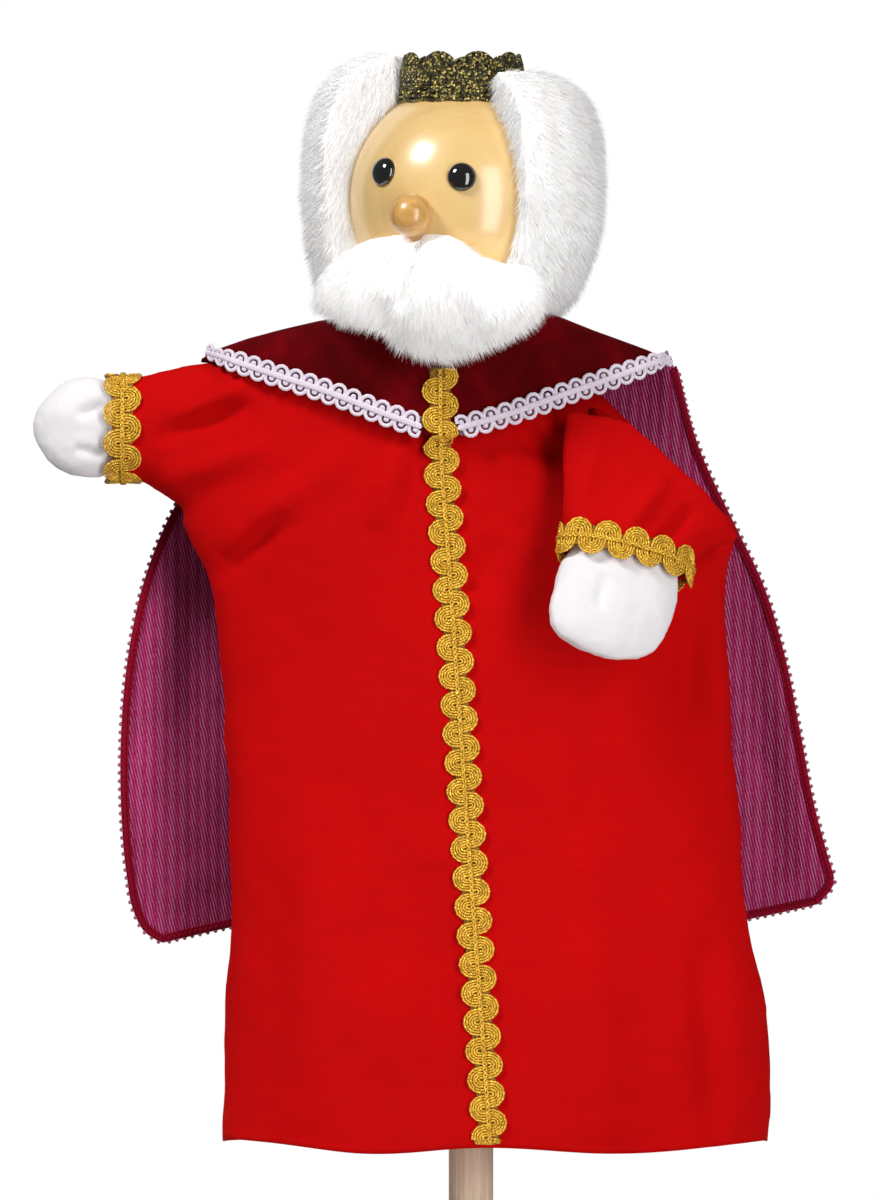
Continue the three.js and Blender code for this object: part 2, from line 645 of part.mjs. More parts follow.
const left = leftPlace();
const right = rightPlace();
const pieces = [
  ['display_rod', displayRod(), rawWood()],
  ['gown_front', gownHalf(-1), redCotton()],
  ['gown_back', gownHalf(1), redCotton()],
  ['front_braid', frontBraid(), goldBraid()],
  ['collar', collar(), velvet()],
  ['collar_trim_left', collarTrim(-1), whiteGimp()],
  ['collar_trim_right', collarTrim(1), whiteGimp()],
  ['cape_panel', capePanel(), capeCloth()],
  ['cape_edging', capeEdging(), velvet()],
  ['sleeve_left', sleeveLeft(), redCotton()],
  ['cuff_braid_left', cuffBraid(LEFT_SLEEVE, left), goldBraid()],
  ['hand_left_palm', handHalf(LEFT_HAND, left, 1), whiteCotton()],
  ['hand_left_back', handHalf(LEFT_HAND, left, -1), whiteCotton()],
  ['sleeve_right', sleeveRight(), redCotton()],
  ['cuff_braid_right', cuffBraid(RIGHT_SLEEVE, right), goldBraid()],
  ['hand_right_palm', handHalf(RIGHT_HAND, right, 1), whiteCotton()],
  ['hand_right_back', handHalf(RIGHT_HAND, right, -1), whiteCotton()],
  ['head_ball', headBall(), paleWood()],
  ['neck_tube', neckTube(), card()],
  ['neck_gather', neckGather(), redCotton()],
  ['neck_cord', neckCord(), whiteGimp()],
  ['nose_bead', noseBead(), noseWood()],
  ['nose_pin', nosePin(), rawWood()],
  ['eye_left', eye(-1), blackBead()],
  ['eye_right', eye(1), blackBead()],
  ['hair_left', wigHalf(-1), whiteFur()],
  ['hair_right', wigHalf(1), whiteFur()],
  ['beard', beard(), whiteFur()],
  ['crown_band', crownBand(), crownGimp()],
];

const puppet = new THREE.Group();
puppet.name = 'hand_puppet';
for (const [name, body, finish] of pieces) puppet.add(meshOf(name, body, finish));

export default puppet;
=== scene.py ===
import math

import bmesh
import bpy
import numpy as np
from mathutils import Matrix, Vector, noise
from mathutils.bvhtree import BVHTree


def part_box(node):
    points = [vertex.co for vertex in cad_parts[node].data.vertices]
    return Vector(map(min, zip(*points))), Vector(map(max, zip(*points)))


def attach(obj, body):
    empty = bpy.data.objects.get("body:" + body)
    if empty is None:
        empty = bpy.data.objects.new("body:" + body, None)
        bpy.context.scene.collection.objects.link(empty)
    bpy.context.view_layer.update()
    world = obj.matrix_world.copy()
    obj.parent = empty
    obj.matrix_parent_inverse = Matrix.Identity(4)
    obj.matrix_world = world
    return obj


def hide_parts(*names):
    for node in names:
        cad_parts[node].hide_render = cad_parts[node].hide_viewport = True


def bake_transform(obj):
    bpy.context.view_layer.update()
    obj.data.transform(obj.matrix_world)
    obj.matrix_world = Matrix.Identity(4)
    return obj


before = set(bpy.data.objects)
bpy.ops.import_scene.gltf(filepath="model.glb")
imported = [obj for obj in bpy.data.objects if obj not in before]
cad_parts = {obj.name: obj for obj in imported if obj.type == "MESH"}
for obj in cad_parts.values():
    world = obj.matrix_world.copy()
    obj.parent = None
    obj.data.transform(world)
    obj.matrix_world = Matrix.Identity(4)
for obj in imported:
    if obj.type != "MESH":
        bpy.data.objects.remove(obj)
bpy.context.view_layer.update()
MM = 0.001

# ---- Studio ----
# White all round, a square soft box high on the left, a tall soft one low on the right, and a
# small pale floor plate under the rod.


def area_light(name, place, aim, width, height, power):
    lamp = bpy.data.lights.new(name, "AREA")
    lamp.shape = "RECTANGLE"
    lamp.size = width
    lamp.size_y = height
    lamp.energy = power
    holder = bpy.data.objects.new(name, lamp)
    holder.location = place
    holder.rotation_euler = (Vector(aim) - Vector(place)).to_track_quat("-Z", "Y").to_euler()
    bpy.context.collection.objects.link(holder)


def plain_material(name, colour, roughness):
    made = bpy.data.materials.new(name)
    made.use_nodes = True
    shader = made.node_tree.nodes["Principled BSDF"]
    shader.inputs["Base Color"].default_value = (*colour, 1)
    shader.inputs["Roughness"].default_value = roughness
    return made


def plate(name, width, place, finish):
    body = bmesh.new()
    bmesh.ops.create_grid(body, x_segments=1, y_segments=1, size=width / 2)
    bmesh.ops.translate(body, verts=body.verts, vec=place)
    mesh = bpy.data.meshes.new(name)
    body.to_mesh(mesh)
    body.free()
    mesh.materials.append(finish)
    made = bpy.data.objects.new(name, mesh)
    bpy.context.collection.objects.link(made)
    return made


MIDDLE = Vector((-8.5, 0, 174.15)) * MM
VIEW_HEIGHT = 324 * MM
CAMERA_DISTANCE = 3.0
floor = plate("floor", 0.34, (0, 0, -0.0005), plain_material("floor_white", (0.9, 0.9, 0.9), 0.8))
area_light("soft_box", (-0.80, -0.62, 1.22), MIDDLE, 0.36, 0.36, 16)
area_light("tall_fill", (0.80, -1.35, 0.22), MIDDLE, 0.5, 1.9, 21)


def white_surround(strength):
    """A world that the camera sees as plain white and that lights the puppet more softly."""
    world = bpy.data.worlds.new("studio")
    world.use_nodes = True
    sky = world.node_tree.nodes["Background"]
    sky.inputs["Color"].default_value = (1, 1, 1, 1)
    path = world.node_tree.nodes.new("ShaderNodeLightPath")
    level = world.node_tree.nodes.new("ShaderNodeMapRange")
    level.inputs["To Min"].default_value = strength
    level.inputs["To Max"].default_value = 1.0
    world.node_tree.links.new(path.outputs["Is Camera Ray"], level.inputs["Value"])
    world.node_tree.links.new(level.outputs["Result"], sky.inputs["Strength"])
    bpy.context.scene.world = world


white_surround(0.18)
bpy.context.scene.view_settings.view_transform = "Standard"
lens = bpy.data.cameras.new("camera")
lens.sensor_fit = "VERTICAL"
lens.sensor_height = 36
lens.lens = 36 * CAMERA_DISTANCE / VIEW_HEIGHT
lens.clip_end = 20
camera = bpy.data.objects.new("camera", lens)
camera.location = (MIDDLE.x, -CAMERA_DISTANCE, MIDDLE.z)
camera.rotation_euler = (math.pi / 2, 0, 0)
bpy.context.collection.objects.link(camera)
bpy.context.scene.camera = camera

# ---- Display rod ----
# A plain sanded beech dowel with a rounded tip; the glove's neck tube drops over it.


def shown(name, body, finish):
    """The finished mesh as a smooth object at the origin."""
    bmesh.ops.recalc_face_normals(body, faces=body.faces)
    mesh = bpy.data.meshes.new(name)
    body.to_mesh(mesh)
    body.free()
    mesh.polygons.foreach_set("use_smooth", [True] * len(mesh.polygons))
    mesh.materials.append(finish)
    made = bpy.data.objects.new(name, mesh)
    bpy.context.collection.objects.link(made)
    return made


def takes_place(piece, body, *nodes):
    """The piece rides on a body and shows in place of these nodes of the frame."""
    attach(piece, body)
    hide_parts(*nodes)


def centre(node):
    low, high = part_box(node)
    return (Vector(low) + Vector(high)) / 2


def size(node):
    low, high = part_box(node)
    return Vector(high) - Vector(low)


def turned(profile, steps=64):
    """A body spun about the Z axis from a profile of (radius, height) points."""
    body = bmesh.new()
    points = [body.verts.new((radius, 0, height)) for radius, height in profile]
    edges = [body.edges.new(pair) for pair in zip(points, points[1:])]
    bmesh.ops.spin(
        body, geom=points + edges, axis=(0, 0, 1), cent=(0, 0, 0), steps=steps, angle=2 * math.pi
    )
    bmesh.ops.remove_doubles(body, verts=body.verts, dist=1e-6)
    return body


class Finish:
    """A procedural material: nodes are added and linked by short calls."""

    def __init__(self, name, colour, roughness, metallic=0.0, sheen=0.0):
        self.material = bpy.data.materials.new(name)
        self.material.use_nodes = True
        self.tree = self.material.node_tree
        self.shader = self.tree.nodes["Principled BSDF"]
        self.set("Base Color", (*colour, 1))
        self.set("Roughness", roughness)
        self.set("Metallic", metallic)
        self.set("Sheen Weight", sheen)
        self.place = self.tree.nodes.new("ShaderNodeTexCoord").outputs["Object"]

    def set(self, socket, value):
        self.shader.inputs[socket].default_value = value

    def node(self, kind, **settings):
        made = self.tree.nodes.new(kind)
        for key, value in settings.items():
            made.inputs[key].default_value = value
        return made

    def link(self, start, end):
        self.tree.links.new(start, end)

    def scaled(self, factors, turn=(0, 0, 0)):
        mapping = self.node("ShaderNodeMapping")
        mapping.inputs["Scale"].default_value = factors
        mapping.inputs["Rotation"].default_value = turn
        self.link(self.place, mapping.inputs["Vector"])
        return mapping.outputs["Vector"]

    def noise(self, factors, detail=3.0, roughness=0.5, turn=(0, 0, 0)):
        made = self.node("ShaderNodeTexNoise", Scale=1.0, Detail=detail, Roughness=roughness)
        self.link(self.scaled(factors, turn), made.inputs["Vector"])
        return made.outputs["Fac"]

    def threads(self, factors, turn=(0, 0, 0), distortion=0.0, direction="X"):
        made = self.node("ShaderNodeTexWave", Scale=1.0, Distortion=distortion, Detail=0.0)
        made.bands_direction = direction
        self.link(self.scaled(factors, turn), made.inputs["Vector"])
        return made.outputs["Fac"]

    def ramp(self, value, *stops):
        made = self.tree.nodes.new("ShaderNodeValToRGB")
        made.color_ramp.elements[0].position = stops[0][0]
        made.color_ramp.elements[1].position = stops[-1][0]
        for position, _ in stops[1:-1]:
            made.color_ramp.elements.new(position)
        for element, (_, colour) in zip(made.color_ramp.elements, stops):
            element.color = (*colour, 1)
        self.link(value, made.inputs["Fac"])
        return made.outputs["Color"]

    def mix(self, factor, first, second):
        made = self.tree.nodes.new("ShaderNodeMix")
        made.data_type = "RGBA"
        self.link(factor, made.inputs[0])
        for socket, colour in ((6, first), (7, second)):
            if isinstance(colour, tuple):
                made.inputs[socket].default_value = (*colour, 1)
            else:
                self.link(colour, made.inputs[socket])
        return made.outputs[2]

    def maths(self, operation, first, second):
        made = self.tree.nodes.new("ShaderNodeMath")
        made.operation = operation
        for socket, value in ((0, first), (1, second)):
            if isinstance(value, (int, float)):
                made.inputs[socket].default_value = value
            else:
                self.link(value, made.inputs[socket])
        return made.outputs[0]

    def colour(self, value):
        self.link(value, self.shader.inputs["Base Color"])

    def rough(self, value, low, high):
        made = self.tree.nodes.new("ShaderNodeMapRange")
        made.inputs["To Min"].default_value = low
        made.inputs["To Max"].default_value = high
        self.link(value, made.inputs["Value"])
        self.link(made.outputs["Result"], self.shader.inputs["Roughness"])

    def bump(self, height, distance, strength=1.0):
        made = self.node("ShaderNodeBump", Distance=distance, Strength=strength)
        last = self.shader.inputs["Normal"]
        if last.is_linked:
            self.link(last.links[0].from_socket, made.inputs["Normal"])
        self.link(height, made.inputs["Height"])
        self.link(made.outputs["Normal"], last)


def raw_wood():
    made = Finish("raw_beech", (0.76, 0.58, 0.42), 0.62)
    grain = made.noise((900, 900, 22), detail=5, roughness=0.65)
    flecks = made.noise((2600, 2600, 130), detail=2)
    dark, middle, pale = (0.62, 0.44, 0.30), (0.78, 0.60, 0.44), (0.86, 0.69, 0.53)
    tone = made.ramp(grain, (0.3, dark), (0.55, middle), (0.75, pale))
    spots = made.ramp(flecks, (0.62, (0, 0, 0)), (0.7, (0.6, 0.6, 0.6)))
    made.colour(made.mix(spots, tone, (0.50, 0.34, 0.22)))
    made.bump(grain, 0.0001, 0.5)
    return made.material


rod_radius = size("display_rod").x / 2
rod_top = size("display_rod").z
rod_end = [(0, 0), (rod_radius - 0.5 * MM, 0), (rod_radius, 0.5 * MM)]
rod_tip = [
    (rod_radius * math.cos(angle), rod_top - rod_radius + rod_radius * math.sin(angle))
    for angle in np.radians([0, 15, 30, 45, 60, 75])
]
rod_sides = [(rod_radius, height) for height in np.linspace(0.02, rod_top - rod_radius, 12)[:-1]]
rod = shown("dowel", turned([*rod_end, *rod_sides, *rod_tip, (0, rod_top)]), raw_wood())
takes_place(rod, "rod", "display_rod")

# ---- Gown with its left sleeve ----
# Two panels of plain red cotton sewn at the sides and open below. The left sleeve is cut in one
# with them, so one skin of cloth runs over the shoulder from the gown into the left arm.

GOWN_RINGS = [
    # height, left side, right side, half depth
    (18, -67.6, 79.4, 27), (36, -67.2, 81.2, 27), (52, -66.8, 80.6, 26.5), (66, -66.2, 79.4, 26),
    (80, -65.6, 76.4, 25), (100, -65.0, 73.6, 24), (124, -65.4, 71.9, 23), (149, -66.8, 69.8, 22),
    (174, -69.6, 68.6, 20.5), (184, -72.5, 69.2, 20), (191, -76, 71.4, 19.5), (195, -78, 71, 19.3),
    (204, -77, 61.2, 19), (216, -77, 48.6, 18.5), (228, -75, 36, 18), (237, -72, 27.4, 17.8),
    (240.5, -66, 23.9, 17.5), (243.5, -57, 20.9, 17.3), (246.5, -44, 17.9, 17), (249, -32, 15.8, 16.8),
    (256, -20, 15, 16.6),
]
LEFT_CUFF = Vector((-93.9, 0, 220.8))
LEFT_SLEEVE_RINGS = [
    # distance past the cuff's middle, upper half, lower half, half depth
    (-50, 15, 26, 12), (-34, 18, 29, 11), (-24, 17.8, 27, 10.2), (-17, 16.6, 22.6, 9.6),
    (-11, 15.4, 18.6, 9.2), (-5.4, 13.6, 15, 8.8), (3, 13.2, 13.8, 8.4), (12, 13.2, 13.8, 8.4),
]
HEM = 28
CLOTH = 0.8 * MM


def ring_body(rings, around=48):
    """A closed body bridged through oval rings of (height, left, right, depth), in millimetres."""
    body = bmesh.new()
    edges = []
    for number, (height, left, right, depth) in enumerate(rings):
        ends = number in (0, len(rings) - 1)
        points = bmesh.ops.create_circle(body, cap_ends=ends, segments=around, radius=1)["verts"]
        edges.append(list({edge for point in points for edge in point.link_edges}))
        for point in points:
            across = (left + right) / 2 + point.co.x * (right - left) / 2
            point.co = Vector((across, point.co.y * depth, height)) * MM
    for lower, upper in zip(edges, edges[1:]):
        bmesh.ops.bridge_loops(body, edges=lower + upper)
    return body


def arm_body(rings, place, around=40):
    """The same for an arm: rings of (distance, upper, lower, depth) set at the place of its cuff."""
    body = ring_body([(along, -lower, upper, depth) for along, upper, lower, depth in rings], around)
    bmesh.ops.transform(body, matrix=place, verts=body.verts)
    return body


def place_of(across, normal, along, cuff):
    turn = Matrix((across, normal, along)).transposed().to_4x4()
    return Matrix.Translation(cuff * MM) @ turn


def joined(*bodies):
    whole = bmesh.new()
    for body in bodies:
        spare = bpy.data.meshes.new("spare")
        body.to_mesh(spare)
        body.free()
        whole.from_mesh(spare)
        bpy.data.meshes.remove(spare)
    return whole


def remeshed(body, voxel, smoothing):
    """One skin round everything in the body, smoothed."""
    bmesh.ops.recalc_face_normals(body, faces=body.faces)
    spare = bpy.data.meshes.new("spare")
    body.to_mesh(spare)
    body.free()
    holder = bpy.data.objects.new("spare", spare)
    bpy.context.collection.objects.link(holder)
    skin = holder.modifiers.new("skin", "REMESH")
    skin.mode = "VOXEL"
    skin.voxel_size = voxel * MM
    smooth = holder.modifiers.new("smooth", "SMOOTH")
    smooth.factor = 0.5
    smooth.iterations = smoothing
    made = bmesh.new()
    made.from_mesh(holder.evaluated_get(bpy.context.evaluated_depsgraph_get()).to_mesh())
    bpy.data.objects.remove(holder)
    bpy.data.meshes.remove(spare)
    return made


def cut(body, point, away):
    """Opens the body: everything past the plane goes."""
    geometry = body.verts[:] + body.edges[:] + body.faces[:]
    return bmesh.ops.bisect_plane(
        body, geom=geometry, plane_co=Vector(point) * MM, plane_no=away, clear_outer=True
    )


def ridge(x, z, start, end, width, height):
    """How far a fold from start to end lifts the cloth at (x, z), in millimetres."""
    along = Vector(end) - Vector(start)
    share = (Vector((x, z)) - Vector(start)).dot(along) / along.length_squared
    nearest = Vector(start) + along * min(max(share, 0), 1)
    away = (Vector((x, z)) - nearest).length / width
    taper = math.sin(math.pi * min(max(share * 0.9 + 0.05, 0), 1)) ** 0.6
    return height * taper * math.exp(-away * away)


FOLD_LIFT = 2.6


def folded(body, folds, ripple):
    """Lifts the front of the cloth along its folds and gives it all a slow unevenness."""
    for point in body.verts:
        x, y, z = point.co / MM
        facing = min(max(-y / 6, 0), 1)
        lift = FOLD_LIFT * sum(ridge(x, z, *fold) for fold in folds) * facing
        lift += ripple * noise.fractal(Vector((x, y, z)) / 26, 1.0, 2.0, 3)
        point.co += point.normal * lift * MM


def cotton(name, colour, shade, weave=2300):
    made = Finish(name, colour, 0.78, sheen=0.12)
    made.set("Sheen Roughness", 0.5)
    made.set("Sheen Tint", (*colour, 1))
    made.set("Specular IOR Level", 0.06)
    warp = made.threads((weave, 0, 0))
    weft = made.threads((0, 0, weave), direction="Z")
    slub = made.noise((90, 60, 700), detail=4, roughness=0.6)
    cloud = made.noise((28, 28, 28), detail=3)
    made.colour(made.mix(made.maths("MULTIPLY", made.maths("ADD", slub, cloud), 0.5), shade, colour))
    made.bump(made.maths("ADD", warp, weft), 0.00006, 0.5)
    made.bump(slub, 0.00012, 0.35)
    return made


def solidified(made, thickness):
    wall = made.modifiers.new("thickness", "SOLIDIFY")
    wall.thickness = thickness
    wall.offset = -1
    wall.use_even_offset = False


left_place = place_of(Vector((0, 0, 1)), Vector((0, 1, 0)), Vector((-1, 0, 0)), LEFT_CUFF)
gown_body = remeshed(joined(ring_body(GOWN_RINGS), arm_body(LEFT_SLEEVE_RINGS, left_place)), 1.5, 12)
cut(gown_body, (0, 0, HEM), (0, 0, -1))
cut(gown_body, (0, 0, 250.5), (0, 0, 1))
cut(gown_body, LEFT_CUFF + Vector((-2, 0, 0)), (-1, 0, 0))
GOWN_FOLDS = [
    # start, end, width, height: first those that run from the left arm
    ((-60, 232), (-80, 223), 3.0, 1.1), ((-60, 227), (-84, 218), 2.8, -1.1),
    ((-56, 215), (-82, 207), 3.4, 0.9), ((-46, 205), (-66, 188), 4.2, 1.0),
    ((-50, 197), (-68, 180), 3.2, -0.9), ((-30, 214), (-58, 196), 5.0, 0.6),
    # from under the collar's point
    ((-20, 216), (-25, 194), 3.4, 0.8), ((-14, 214), (-17, 196), 2.4, -0.6),
    ((12, 221), (25, 211), 3.6, -1.8), ((8, 215), (12, 196), 3.0, 0.6),
    # beside the folded hand and down the skirt
    ((61, 172), (58, 140), 4.0, -1.2), ((66, 170), (66, 120), 4.0, 0.8),
    ((6, 190), (2, 176), 4.0, -0.8), ((-40, 120), (-44, 36), 9.0, 1.1),
    ((30, 110), (34, 34), 10.0, 1.3), ((-12, 100), (-6, 34), 6.0, -0.8),
    ((62, 80), (66, 30), 5.0, -1.0),
]
folded(gown_body, GOWN_FOLDS, 0.9)
for point in gown_body.verts:
    x, y, z = point.co / MM
    low = max(0, 1 - (z - HEM) / 30)
    wave = math.exp(-(((x + 26) / 24) ** 2)) + math.exp(-(((x - 40) / 32) ** 2))
    point.co.z -= (3.4 * wave * low - 1.2 * low) * MM if y < 0 else 0


def gown_finish():
    made = cotton("red_cotton", (0.64, 0.0009, 0.0016), (0.44, 0.0006, 0.001))
    height = made.node("ShaderNodeSeparateXYZ")
    made.link(made.place, height.inputs[0])
    above = made.maths("SUBTRACT", height.outputs["Z"], (HEM + 3.2) * MM)
    seam = made.maths("LESS_THAN", made.maths("ABSOLUTE", above, 0), 0.35 * MM)
    dashes = made.maths("GREATER_THAN", made.threads((330, 0, 0)), 0.25)
    stitch = made.maths("MULTIPLY", seam, dashes)
    made.bump(stitch, 0.0003, -0.6)
    return made.material


red = gown_finish()
gown = shown("gown", gown_body, red)
solidified(gown, CLOTH)
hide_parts("gown_front", "gown_back", "sleeve_left")

# ---- Right sleeve, folded down over the chest ----
# The same red cotton: a tube of cloth turned over along the slanting fold at the shoulder. Its fold
# is sewn to the gown's edge.

FOLD_START = Vector((35.6, 0, 227.9))
FOLD_END = Vector((70.7, 0, 193.9))
FOLD_FORWARD = 18
FOLD_RADIUS = 6
FOLD_LEAN = math.radians(26)
ARM_ANGLE = math.radians(57.9)
CUFF_ALONG = 32.9
CUFF_DROP = 22.4
RIGHT_SLEEVE_RINGS = [
    # distance past the cuff's middle, right half, left half, half depth
    (-36, 34, 22.4, 5.6), (-24, 34, 21.6, 6.6), (-13, 31, 19.8, 7.2), (-5.4, 20.8, 18.4, 7.6),
    (3, 17.6, 17, 7.7), (12, 17.6, 17, 7.7),
]
fold_along = (FOLD_END - FOLD_START).normalized()
fold_inward = Vector((fold_along.z, 0, -fold_along.x))
fold_down = fold_inward * math.cos(FOLD_LEAN) - Vector((0, math.sin(FOLD_LEAN), 0))
fold_axis = FOLD_START + fold_inward * FOLD_RADIUS - Vector((0, FOLD_FORWARD, 0))
right_along = fold_along * math.cos(ARM_ANGLE) + fold_down * math.sin(ARM_ANGLE)
right_normal = fold_down.cross(fold_along).normalized()
RIGHT_CUFF = fold_axis + fold_along * CUFF_ALONG + fold_down * CUFF_DROP
right_place = place_of(right_normal.cross(right_along), right_normal, right_along, RIGHT_CUFF)


def capsule(start, end, wide, deep, turn):
    """A rounded bar from start to end, wide and deep in its own frame."""
    body = bmesh.new()
    bmesh.ops.create_uvsphere(body, u_segments=20, v_segments=12, radius=1)
    reach = (end - start).length / 2
    stretch = Matrix.Diagonal((reach * MM, wide * MM, deep * MM, 1))
    shape = Matrix.Translation((start + end) / 2 * MM) @ turn
    bmesh.ops.transform(body, matrix=shape @ stretch, verts=body.verts)
    return body


def right_sleeve_body():
    sleeve = arm_body(RIGHT_SLEEVE_RINGS, right_place)
    rim = cut(sleeve, fold_axis - fold_down * (FOLD_RADIUS - 0.6), -fold_down)["geom_cut"]
    bmesh.ops.holes_fill(sleeve, edges=[part for part in rim if isinstance(part, bmesh.types.BMEdge)])
    backwards = Vector((0, 1, 0))
    turn = Matrix((fold_along, backwards, fold_along.cross(backwards))).transposed().to_4x4()
    start = fold_axis + fold_along * -2 + fold_inward * -2.2 + Vector((0, 9, 0))
    bridge = capsule(start, start + fold_along * 52, 11, 2.8, turn)
    return remeshed(joined(sleeve, bridge), 1.1, 9)


right_sleeve = right_sleeve_body()
cut(right_sleeve, RIGHT_CUFF + right_along * 2, right_along)
RIGHT_SLEEVE_FOLDS = [
    ((52, 206), (40, 192), 2.6, 0.8), ((60, 199), (50, 188), 2.2, -0.7),
    ((34, 220), (28, 196), 3.0, 0.5),
]
folded(right_sleeve, RIGHT_SLEEVE_FOLDS, 0.5)
sleeve = shown("right_sleeve", right_sleeve, red)
solidified(sleeve, CLOTH)
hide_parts("sleeve_right")

# ---- Hands ----
# Flat white cotton mittens, each sewn from a palm and a back with the seam turned in.

LEFT_HAND_RINGS = [
    # distance past the cuff's middle, upper half, lower half, half depth
    (-3, 11.4, 11.8, 6), (2.6, 11.8, 12.4, 6.6), (6, 13.4, 13.8, 7.2), (10, 13.8, 13.8, 7.4),
    (14, 13.4, 13.2, 7.0), (17.5, 11.6, 11.6, 6.2), (20.5, 8.6, 9.0, 5.0), (23, 5.4, 5.6, 3.4),
    (24.6, 2.2, 2.4, 1.4),
]
RIGHT_HAND_RINGS = [
    # distance past the cuff's middle, right half, left half, half depth
    (-3, 15, 15, 5.6), (2.6, 15.4, 15.4, 6.2), (6, 16.6, 17.4, 6.6), (10, 16.6, 18.2, 6.8),
    (16, 15.4, 18.8, 6.6), (21, 14.2, 18.8, 6), (25, 12.6, 17.8, 5), (28.0, 8.6, 14.6, 3.4),
    (30.4, 2.4, 5.2, 1.2),
]


white_cotton = cotton("white_cotton", (0.90, 0.875, 0.885), (0.83, 0.80, 0.82)).material


def mitten(name, rings, place, creases):
    """A hand with a stitched seam round the edge, where its palm and its back meet."""
    body = remeshed(arm_body(rings, place), 0.8, 5)
    middle = place.translation
    normal = place.col[1].to_3d()
    for point in body.verts:
        height = (point.co - middle).dot(normal)
        seam = math.exp(-((height / (0.9 * MM)) ** 2))
        point.co -= point.normal * seam * 0.35 * MM
        point.co += point.normal * 0.5 * MM * noise.fractal(point.co / MM / 9, 1.0, 2.0, 3)
    folded(body, creases, 0.25)
    return shown(name, body, white_cotton)


LEFT_HAND_CREASES = [((-99, 227), (-106, 224), 1.5, -0.7), ((-99, 213), (-107, 215), 1.4, -0.5)]
RIGHT_HAND_CREASES = [((36, 181), (34, 172), 1.8, -0.5)]
left_hand = mitten("left_mitten", LEFT_HAND_RINGS, left_place, LEFT_HAND_CREASES)
takes_place(left_hand, "arm_left", "hand_left_palm", "hand_left_back")
right_hand = mitten("right_mitten", RIGHT_HAND_RINGS, right_place, RIGHT_HAND_CREASES)
takes_place(right_hand, "arm_right", "hand_right_palm", "hand_right_back")

# ---- Collar ----
# A pointed shoulder collar of dark red cotton velvet, sewn into the neck.


def copied(names, voxel, smoothing):
    """A fresh skin round the frame's own shape of a soft piece."""
    body = bmesh.new()
    for name in names:
        body.from_mesh(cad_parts[name].data)
    return remeshed(body, voxel, smoothing)


def velvet_finish():
    made = Finish("red_velvet", (0.11, 0.0003, 0.001), 0.9, sheen=0.22)
    made.set("Sheen Roughness", 0.35)
    made.set("Sheen Tint", (0.8, 0.004, 0.012, 1))
    made.set("Specular IOR Level", 0.04)
    pile = made.noise((5200, 5200, 5200), detail=2)
    brushed = made.noise((70, 70, 45), detail=4, roughness=0.6)
    dark, middle, bright = (0.055, 0.0003, 0.0008), (0.10, 0.0005, 0.002), (0.17, 0.001, 0.004)
    made.colour(made.ramp(brushed, (0.3, dark), (0.55, middle), (0.75, bright)))
    made.bump(pile, 0.0002, 0.6)
    made.bump(brushed, 0.0008, 0.3)
    return made.material


collar_body = copied(["collar"], 0.75, 4)
bmesh.ops.translate(collar_body, verts=collar_body.verts, vec=(0, 0, 0.8 * MM))
folded(collar_body, [((-34, 244), (-30, 228), 4, 0.5), ((20, 242), (24, 228), 4, 0.5)], 0.35)
velvet = velvet_finish()
collar = shown("velvet_collar", collar_body, velvet)
takes_place(collar, "glove", "collar")

# ---- Cords and braids ----
# Gold scroll gimp down the front and round both cuffs: lobes of laid cord on alternate sides of a
# chain. A white looped gimp edges the collar.


def tube_lines(name, lines, radius, finish, sides=1):
    """Round cords along lines of points in metres, as one mesh."""
    path = bpy.data.curves.new(name, "CURVE")
    path.dimensions = "3D"
    path.bevel_depth = radius
    path.bevel_resolution = sides
    path.use_fill_caps = True
    for line, closed in lines:
        strand = path.splines.new("POLY")
        strand.points.add(len(line) - 1)
        strand.points.foreach_set("co", [value for point in line for value in (*point, 1)])
        strand.use_cyclic_u = closed
    holder = bpy.data.objects.new(name, path)
    bpy.context.collection.objects.link(holder)
    body = bmesh.new()
    body.from_mesh(holder.evaluated_get(bpy.context.evaluated_depsgraph_get()).to_mesh())
    bpy.data.objects.remove(holder)
    bpy.data.curves.remove(path)
    return shown(name, body, finish)


class Guide:
    """A line on a surface with its own sideways and outward directions, walked by length."""

    def __init__(self, points, outwards, closed=False):
        self.points = [Vector(point) for point in points]
        self.outwards = [Vector(out).normalized() for out in outwards]
        if closed:
            self.points.append(self.points[0])
            self.outwards.append(self.outwards[0])
        steps = [(b - a).length for a, b in zip(self.points, self.points[1:])]
        self.marks = np.concatenate([[0], np.cumsum(steps)])
        self.length = float(self.marks[-1])

    def at(self, distance, aside, up):
        distance = min(max(distance, 0), self.length - 1e-9)
        number = int(np.searchsorted(self.marks, distance, side="right")) - 1
        number = min(number, len(self.points) - 2)
        share = (distance - self.marks[number]) / (self.marks[number + 1] - self.marks[number])
        start, end = self.points[number], self.points[number + 1]
        out = self.outwards[number].lerp(self.outwards[number + 1], share).normalized()
        along = (end - start).normalized()
        return start.lerp(end, share) + along.cross(out) * aside + out * up


